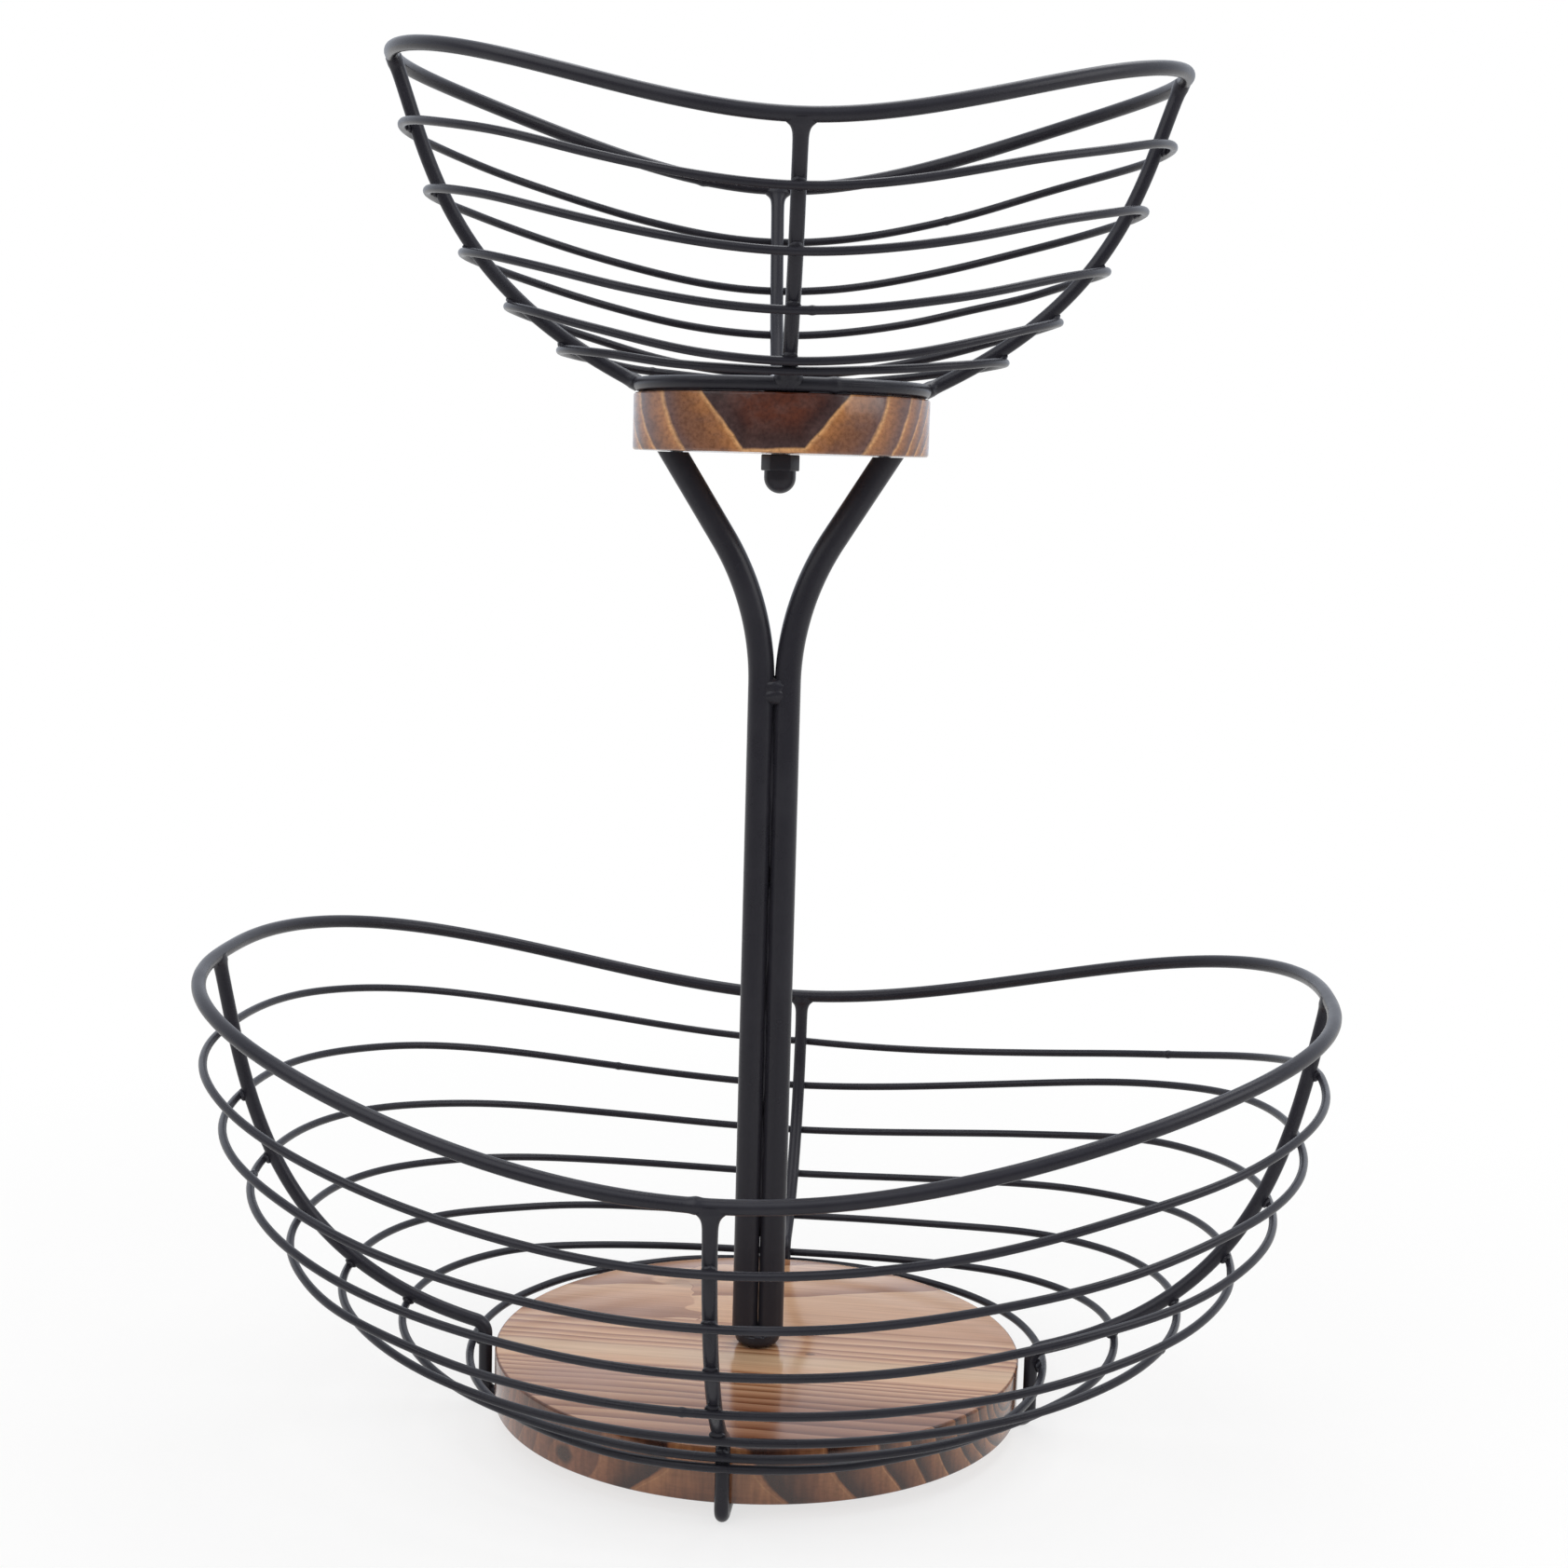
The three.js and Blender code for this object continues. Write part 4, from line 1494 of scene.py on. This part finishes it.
@dataclass
class UpperBasket(WireBasket):
    """The upper basket: rim, loops, ribs, base ring and cross bar."""

    tier: str = "upper"
    body: Body = Body.UPPER_BASKET
    end: Station = Station(0.12, 0.0981, RibShape(25.9, 0.0656, 69.0, 0.0299), 0.0209, 0.0233)
    side: Station = Station(0.088, 0.0726, RibShape(47.0, 0.05, 66.5, 0.038), 0.0183, 0.0056, 0.0036)
    loop_count: int = 5
    squareness: float = 0.1
    ease: float = 0.58
    wander: float = 0.0009
    first_seed: int = 11
    rim_seam: float = 0.288
    loop_seams: Range = (0.16, 0.3)
    turn: float = 8.0
    floor: float = 0.3267
    ring_radius: float = 0.0439
    ring_seam: float = 0.8
    bar_width: float = 0.014
    bar_thickness: float = 0.0025
    bar_play: float = 0.0012
    bar_bead: Triple = (0.003, 0.0014, 0.0012)
    bar_bead_shifts: Triple = (-0.0045, 0.0, 0.0045)
    bar_bead_sink: float = 0.0002
    bar_bead_rise: float = 0.0006

    @property
    def placed(self) -> Matrix:
        """The place of the upper basket on its board."""
        return Matrix.Translation((0.0, 0.0, self.floor)) @ turn_about_z(self.turn)

    @property
    def ring_height(self) -> float:
        """The height of the base ring's centre above the board."""
        return self.stock.gap + self.stock.frame_radius

    def rib_start(self, side: Side) -> Vector:
        """The lower end of the rib's curve on one side, at the outside of the base ring."""
        ring = Vector((self.ring_radius, 0.0, self.ring_height))
        return ring + polar(self.station(side).rib.start_angle, self.stock.frame_radius + self.stock.gap)

    def rib_route(self, side: Side) -> Route:
        """The rib on one side, from inside the weld at the base ring up to the rim.

        Args:
            side: The rib's side.

        Returns:
            Its points, and its half widths at them.
        """
        radius = self.stock.frame_radius
        curve = self.curve(side)
        points = [curve.at(0.0) - polar(self.station(side).rib.start_angle, radius)]
        widths = [self.welds.width(radius, 0.0)]
        for mark in curve.marked():
            points.append(curve.at(mark))
            widths.append(self.welds.width(radius, min(mark, curve.length - mark - radius)))
        return points, widths

    def low_crossings(self, side: Side) -> list[Crossing]:
        """The crossing of a rib by the last loop, which stands apart at the sides."""
        curve = self.curve(side)
        return [] if side.at_end else [curve.outward(curve.length - self.side.last_rise)]

    def base_ring(self) -> None:
        """Build the ring that lies on the board."""
        points = []
        for step in range(LOOP_SAMPLES + 1):
            place = polar(360.0 * step / LOOP_SAMPLES, self.ring_radius)
            points.append(Vector((place.x, place.z, self.ring_height)))
        wire = round_wire(Path(points), self.stock.frame_radius, FRAME_SIDES, RING_STEPS, self.ring_seam)
        self.install("base_ring", "wire", wire.sweep())

    def cross_bar(self) -> None:
        """Build the flat bar across the ring, with its welds."""
        reach = self.ring_radius - self.stock.frame_radius - self.stock.gap
        height = self.stock.gap + self.bar_thickness / 2.0
        size = Matrix.Diagonal((self.bar_width, 2.0 * reach - self.bar_play, self.bar_thickness, 1.0))
        mesh = bmesh.new()
        bmesh.ops.create_cube(mesh, size=1.0, matrix=Matrix.Translation((0.0, 0.0, height)) @ size)
        soften(mesh, self.stock.metal_round)
        for sign in (1.0, -1.0):
            out = Vector((0.0, sign, 0.0))
            for shift in self.bar_bead_shifts:
                place = out * (reach - self.bar_bead_sink) + Vector((shift, 0.0, height + self.bar_bead_rise))
                add_weld(mesh, place, (UP.cross(out), out, UP), self.bar_bead)
        self.install("cross_bar", "flat", mesh)

    def build_base(self) -> None:
        """Build the base ring and the cross bar."""
        self.base_ring()
        self.cross_bar()


# The post, with the upper board and the fasteners


@dataclass
class Post:
    """The post of two rods, with the upper board and the fasteners.

    The heads' corners are given by radius and height, from the outer face of the base screw's head, from the
    tops of the arm screws and from the seat of the centre bolt.
    """

    bench: Bench
    stock: Stock = Stock()
    turn: float = 6.0
    board_top: float = 0.0222
    height: float = 0.287
    boss_radius: float = 0.00725
    boss_height: float = 0.004
    boss_round: float = 0.0026
    boss_edge: float = 0.0006
    bead_angles: tuple[float, ...] = (-183.0, -152.0, -121.0, -90.0, -59.0, -28.0, 3.0)
    bead_inset: float = 0.0012
    bead_sink: float = 0.0002
    front_bead: Triple = (0.0019, 0.0013, 0.0011)
    back_bead: Triple = (0.0018, 0.0012, 0.001)
    arm_reach: float = 0.0336
    arm_angle: float = 32.0
    arm_bend: float = 0.086
    crotch_weld: float = 0.2354
    crotch_depth: float = 0.0022
    crotch_half_height: float = 0.0031
    crotch_lumps: tuple[Range, ...] = ((0.0012, 0.004), (-0.0012, 0.0043))
    bridge_width: float = 0.45
    bridges: tuple[Triple, ...] = (
        (0.205, 0.029, 0.0022),
        (0.158, 0.018, 0.002),
        (0.12, 0.022, 0.002),
        (0.08, 0.021, 0.002),
    )
    upper_board_radius: float = 0.0458
    bolt_hole: float = 0.0033
    arm_hole: float = 0.0023
    arm_sink: float = 0.0046
    arm_sink_depth: float = 0.0023
    cut_margin: float = 0.002
    screw_radius: float = 0.003
    base_head: Profile = ((0.003, 0.0), (0.0052, 0.0), (0.00575, 0.0006), (0.00575, 0.002))
    base_socket: DriveSocket = DriveSocket(0.0023, 0.0014)
    arm_screw_place: float = 0.0322
    arm_screw_depth: float = 0.004
    arm_screw_radius: float = 0.002
    arm_screw_tip: float = 0.0008
    arm_head: Profile = ((0.002, -0.002), (0.0039, -0.0002), (0.0037, 0.0), (0.0024, 0.0))
    arm_socket: DriveSocket = DriveSocket(0.0017, -0.0014)
    bar_top: float = 0.3295
    bolt_reach: float = 0.008
    bolt_head: Profile = ((0.006, 0.0), (0.006, 0.0012), (0.0055, 0.0022), (0.0045, 0.003), (0.0032, 0.0035))
    bolt_socket: DriveSocket = DriveSocket(0.0023, -0.0019)
    nut_flats: float = 0.0105
    nut_hex_height: float = 0.005
    nut_dome_radius: float = 0.00495
    nut_height: float = 0.012
    nut_turn: float = 30.0
    nut_overlap: float = 0.001

    @property
    def placed(self) -> Matrix:
        """The turn of the post on the lower board."""
        return turn_about_z(self.turn)

    @property
    def upper_bottom(self) -> float:
        """The height of the upper board's underside."""
        return self.board_top + self.height

    @property
    def upper_top(self) -> float:
        """The height of the upper board's top."""
        return self.upper_bottom + self.stock.board_thickness

    def install(self, node: str, ending: str, mesh: BMesh, slot: Slot = Slot.BLACK_COAT) -> bpy.types.Object:
        """Turn a mesh with the post and make it a piece."""
        return self.bench.install(node, ending, put(mesh, self.placed), Body.POST, slot)

    def boss(self) -> None:
        """Build the welded nut under the rods, with its beads of weld."""
        bottom = self.board_top + self.stock.gap
        top = bottom + self.boss_height
        centre = Vector((self.boss_radius - self.boss_round, 0.0, bottom + self.boss_round))
        belly = [(point.x, point.z) for point in bend(centre, self.boss_round, -90.0, 0.0)]
        profile = ((self.bolt_hole, bottom), *belly, (self.boss_radius, top), (self.bolt_hole, top))
        mesh = turned(profile, ring=True)
        soften(mesh, self.boss_edge)
        for degrees in self.bead_angles:
            angle = math.radians(degrees)
            out = Vector((math.cos(angle), math.sin(angle), 0.0))
            axes = (UP.cross(out), out, UP)
            place = out * (self.boss_radius - self.bead_inset) + UP * (top - self.bead_sink)
            add_weld(mesh, place, axes, self.front_bead)
            add_weld(mesh, Vector((place.x, -place.y, place.z)), axes, self.back_bead)
        self.install("post_foot_boss", "welded", mesh)

    def rod(self, side: Side) -> None:
        """Build one rod, straight up and then out to the board.

        Args:
            side: The side of the post that it is on, right or left.
        """
        stock = self.stock
        axis = stock.rod_radius + stock.gap / 2.0
        spread = math.radians(self.arm_angle)
        bend_out = self.arm_bend * (1.0 - math.cos(spread))
        straight = (self.arm_reach - axis - bend_out) / math.sin(spread)
        start = self.upper_bottom - straight * math.cos(spread) - self.arm_bend * math.sin(spread)
        centre = Vector((axis + self.arm_bend, 0.0, start))
        points = [Vector((axis, 0.0, self.board_top + self.boss_height + 2.0 * stock.gap))]
        points += bend(centre, self.arm_bend, 180.0, 180.0 - self.arm_angle, ARM_STEPS)
        points.append(points[-1] + polar(90.0 - self.arm_angle, straight + 2.0 * stock.rod_radius))
        radius = stock.rod_radius + stock.rod_coat
        mesh = Wire(points, [(radius, radius)] * len(points), False, ROD_SIDES, ACROSS).sweep()
        cut = bmesh.ops.bisect_plane(
            mesh,
            geom=list(mesh.verts) + list(mesh.edges) + list(mesh.faces),
            plane_co=(0.0, 0.0, self.upper_bottom - stock.gap),
            plane_no=UP,
            clear_outer=True,
        )
        rim = [item for item in cut["geom_cut"] if isinstance(item, BMEdge)]
        bmesh.ops.contextual_create(mesh, geom=rim)
        face_outwards(mesh)
        if side is Side.RIGHT:
            self.weld_rods(mesh)
        put(mesh, turn_about_z(side.value))
        self.install(f"post_rod_{side.name.lower()}", "bent", mesh)

    def weld_rods(self, mesh: BMesh) -> None:
        """Add the weld in the fork and the coat that bridges the gap between the rods.

        Args:
            mesh: The right rod's mesh.
        """
        axes = (OUT, ACROSS, UP)
        for face in (-1.0, 1.0):
            for rise, half in self.crotch_lumps:
                place = Vector((0.0, face * self.crotch_depth, self.crotch_weld + rise))
                add_weld(mesh, place, axes, (half, self.crotch_depth, self.crotch_half_height))
        for height, half, depth in self.bridges:
            add_weld(mesh, Vector((0.0, 0.0, height)), axes, (self.bridge_width * depth, depth, half))

    def board(self) -> None:
        """Build the upper board with its two countersunk screw holes."""
        blank = board_blank(self.upper_board_radius, self.bolt_hole, self.upper_bottom, self.stock)
        piece = self.install("upper_board", "round", blank, Slot.SCORCHED_PINE)
        below, top = self.upper_bottom - self.cut_margin, self.upper_top
        above = top + self.cut_margin
        narrow = ((0.0, below), (self.arm_hole, below), (self.arm_hole, top - self.arm_sink_depth))
        wide = ((self.arm_sink, top), (self.arm_sink, above), (0.0, above))
        for sign in (1.0, -1.0):
            place = self.placed @ Matrix.Translation((sign * self.arm_screw_place, 0.0, 0.0))
            cut_out(piece, put(turned(narrow + wide), place))

    def fastener(self, node: str, profile: Profile, socket: DriveSocket, place: float = 0.0) -> None:
        """Build a screw or bolt with a socket in its head.

        Args:
            node: Its node.
            profile: Radius and height of its corners, between the middle of its end and its open head.
            socket: The socket that closes the head.
            place: Its distance to the right of the post's axis.
        """
        mesh = turned(profile)
        # Of the two ends of the profile, the open head is the one away from the axis
        _, head_face = max(profile[0], profile[-1])
        socket.cut(mesh, head_face)
        put(mesh, Matrix.Translation((place, 0.0, 0.0)))
        self.install(node, "socket", mesh, Slot.PLAIN_STEEL)

    def base_screw(self) -> None:
        """Build the screw that holds the post to the lower board."""
        head = [(radius, self.stock.gap + height) for radius, height in self.base_head]
        end = self.board_top + self.boss_height
        shank = [(self.screw_radius, head[-1][1]), (self.screw_radius, end), (0.0, end)]
        self.fastener("base_screw", head + shank, self.base_socket)

    def arm_screw(self, node: str, sign: float) -> None:
        """Build one of the screws that hold the upper board to the arms.

        Args:
            node: The screw's node.
            sign: The side of the post that it is on.
        """
        top = self.upper_top - self.stock.gap
        end = self.upper_bottom - self.stock.gap - self.arm_screw_depth
        shank = [(0.0, end), (self.arm_screw_radius, end + self.arm_screw_tip)]
        head = [(radius, top + height) for radius, height in self.arm_head]
        self.fastener(node, shank + head, self.arm_socket, sign * self.arm_screw_place)

    def centre_bolt(self) -> None:
        """Build the bolt that holds the upper basket down."""
        seat = self.bar_top + self.stock.gap
        end = self.upper_bottom - self.bolt_reach
        shank = [(0.0, end), (self.screw_radius, end), (self.screw_radius, seat)]
        head = [(radius, seat + height) for radius, height in self.bolt_head]
        self.fastener("centre_bolt", shank + head, self.bolt_socket)

    def cap_nut(self) -> None:
        """Build the domed nut under the upper board."""
        top = self.upper_bottom - self.stock.gap
        shoulder = top - self.nut_hex_height
        centre = Vector((0.0, 0.0, top - self.nut_height + self.nut_dome_radius))
        dome = [(abs(point.x), point.z) for point in bend(centre, self.nut_dome_radius, -90.0, 0.0)]
        inside = shoulder + self.nut_overlap
        body = turned((*dome, (self.nut_dome_radius, inside), (0.0, inside)))
        corner = self.nut_flats / math.sqrt(3.0)
        middle = Vector((0.0, 0.0, shoulder + self.nut_hex_height / 2.0))
        place = Matrix.Translation(middle) @ turn_about_z(self.nut_turn)
        hexagon = bmesh.new()
        bmesh.ops.create_cone(
            hexagon,
            cap_ends=True,
            segments=HEXAGON,
            radius1=corner,
            radius2=corner,
            depth=self.nut_hex_height,
            matrix=place,
        )
        soften(hexagon, self.stock.metal_round)
        self.install("cap_nut", "domed", merge(body, hexagon))

    def build(self) -> None:
        """Build every piece of the post."""
        self.boss()
        self.base_screw()
        self.rod(Side.RIGHT)
        self.rod(Side.LEFT)
        self.board()
        self.arm_screw("arm_screw_right", 1.0)
        self.arm_screw("arm_screw_left", -1.0)
        self.centre_bolt()
        self.cap_nut()


# The studio


@dataclass(frozen=True)
class Lamp:
    """A soft box: its place, its width and its power in watts."""

    name: str
    place: Triple
    width: float
    power: float


@dataclass(frozen=True)
class PhotoCamera:
    """The camera at the photograph's viewing angle: angles in radians, lengths in metres."""

    azimuth: float = 0.1023
    distance: float = 0.75039
    height: float = 0.30503
    yaw: float = -0.0051
    pitch: float = 0.1313
    roll: float = 0.0270
    focal_pixels: float = 2572.9
    image_pixels: float = 1683.0
    sensor: float = 36.0
    nearest: float = 0.01

    def build(self) -> None:
        """Make the scene's camera."""
        data = bpy.data.cameras.new("photo_camera")
        data.sensor_fit = "HORIZONTAL"
        data.sensor_width = self.sensor
        data.lens = self.sensor * self.focal_pixels / self.image_pixels
        data.clip_start = self.nearest
        camera = bpy.data.objects.new("photo_camera", data)
        stand = Matrix.Rotation(self.azimuth, 4, "Z") @ Matrix.Translation((0.0, -self.distance, self.height))
        head = Matrix.Rotation(self.yaw, 4, "Z") @ Matrix.Rotation(math.pi / 2.0 - self.pitch, 4, "X")
        camera.matrix_world = stand @ head @ Matrix.Rotation(self.roll, 4, "Z")
        bpy.context.scene.collection.objects.link(camera)
        bpy.context.scene.camera = camera


@dataclass(frozen=True)
class Studio:
    """A pale floor, a white room and three soft boxes."""

    camera: PhotoCamera = PhotoCamera()
    floor_size: float = 12.0
    floor_colour: Colour = (0.96, 0.96, 0.96)
    floor_fade: Change = (0.2, 0.55, 0.7, 1.0)
    floor_shade: Change = (-1.2, -0.25, 0.25, 1.0)
    room_light: float = 0.45
    room_shade: Change = (-0.35, 0.25, 0.25, 1.0)
    room_overhead: Change = (0.3, 0.6, 0.25, 1.0)
    white: Colour = (1.0, 1.0, 1.0)
    cool: Colour = (0.92, 0.975, 1.08)
    aim: Triple = (0.0, 0.0, 0.2)
    lamps: tuple[Lamp, ...] = (
        Lamp("key_box", (-0.75, -0.85, 1.25), 1.5, 10.0),
        Lamp("fill_box", (1.1, -0.35, 0.8), 0.8, 5.0),
        Lamp("top_box", (0.1, 0.55, 1.5), 1.0, 7.5),
    )

    def room(self) -> None:
        """Make the white surroundings, which reflections see darker in front."""
        world = bpy.data.worlds.new("white_room")
        world.use_nodes = True
        graph = Graph(world.node_tree)
        _, direction_y, direction_z = graph.axes(graph.node("TexCoord").outputs["Generated"])
        rays = graph.node("LightPath").outputs
        shine = rays["Is Glossy Ray"]
        seen = graph.most(rays["Is Camera Ray"], rays["Is Transmission Ray"])
        shade = graph.most(
            graph.span(direction_y, *self.room_shade),
            graph.span(direction_z, *self.room_overhead),
        )
        diffuse = graph.less(1.0, graph.most(seen, shine))
        bright = graph.most(seen, graph.times(shine, shade))
        strength = graph.add(bright, graph.times(diffuse, self.room_light))
        background = world.node_tree.nodes["Background"]
        graph.feed(background.inputs["Color"], graph.mix(shine, self.white, self.cool))
        graph.feed(background.inputs["Strength"], strength)
        bpy.context.scene.world = world

    def floor(self) -> None:
        """Make the pale floor, which keeps the object's shadow, and fades to white away from it."""
        graph = Finish("pale_floor")
        graph.shader.inputs["Base Color"].default_value = (*self.floor_colour, 1.0)
        graph.shader.inputs["Roughness"].default_value = 1.0
        graph.shader.inputs["Specular IOR Level"].default_value = 0.0
        rays = graph.node("LightPath").outputs
        shine = rays["Is Glossy Ray"]
        seen = graph.most(graph.most(rays["Is Camera Ray"], shine), rays["Is Transmission Ray"])
        place = graph.place()
        shade = graph.span(graph.axes(place)[1], *self.floor_shade)
        glow = graph.node("Emission")
        graph.feed(glow.inputs["Strength"], graph.most(graph.less(1.0, shine), shade))
        share = graph.times(seen, graph.span(graph.length(place), *self.floor_fade))
        choose = graph.node("MixShader", share, graph.shader.outputs[0], glow.outputs[0])
        graph.feed(graph.tree.nodes["Material Output"].inputs["Surface"], choose.outputs[0])
        mesh = bmesh.new()
        bmesh.ops.create_grid(mesh, x_segments=1, y_segments=1, size=self.floor_size / 2.0)
        data = bpy.data.meshes.new("floor")
        mesh.to_mesh(data)
        mesh.free()
        data.materials.append(graph.material)
        floor = bpy.data.objects.new("floor", data)
        bpy.context.scene.collection.objects.link(floor)

    def lights(self) -> None:
        """Hang the soft boxes, turned to the object."""
        for lamp in self.lamps:
            data = bpy.data.lights.new(lamp.name, "AREA")
            data.shape = "SQUARE"
            data.size = lamp.width
            data.energy = lamp.power
            light = bpy.data.objects.new(lamp.name, data)
            light.location = lamp.place
            towards = Vector(self.aim) - Vector(lamp.place)
            light.rotation_euler = towards.to_track_quat("-Z", "Y").to_euler()
            bpy.context.scene.collection.objects.link(light)

    def build(self) -> None:
        """Make the room, the floor, the lights and the camera."""
        bpy.context.scene.view_settings.view_transform = "Standard"
        self.room()
        self.floor()
        self.lights()
        self.camera.build()


def main() -> None:
    """Build the object and the studio."""
    logging.basicConfig(level=logging.INFO, format="%(name)s: %(message)s")
    Studio().build()
    bench = Bench(Finishes())
    LowerBasket(bench).build()
    Post(bench).build()
    UpperBasket(bench).build()
    LOG.info("%d pieces", len(bench.pieces))


if __name__ == "__main__":
    main()
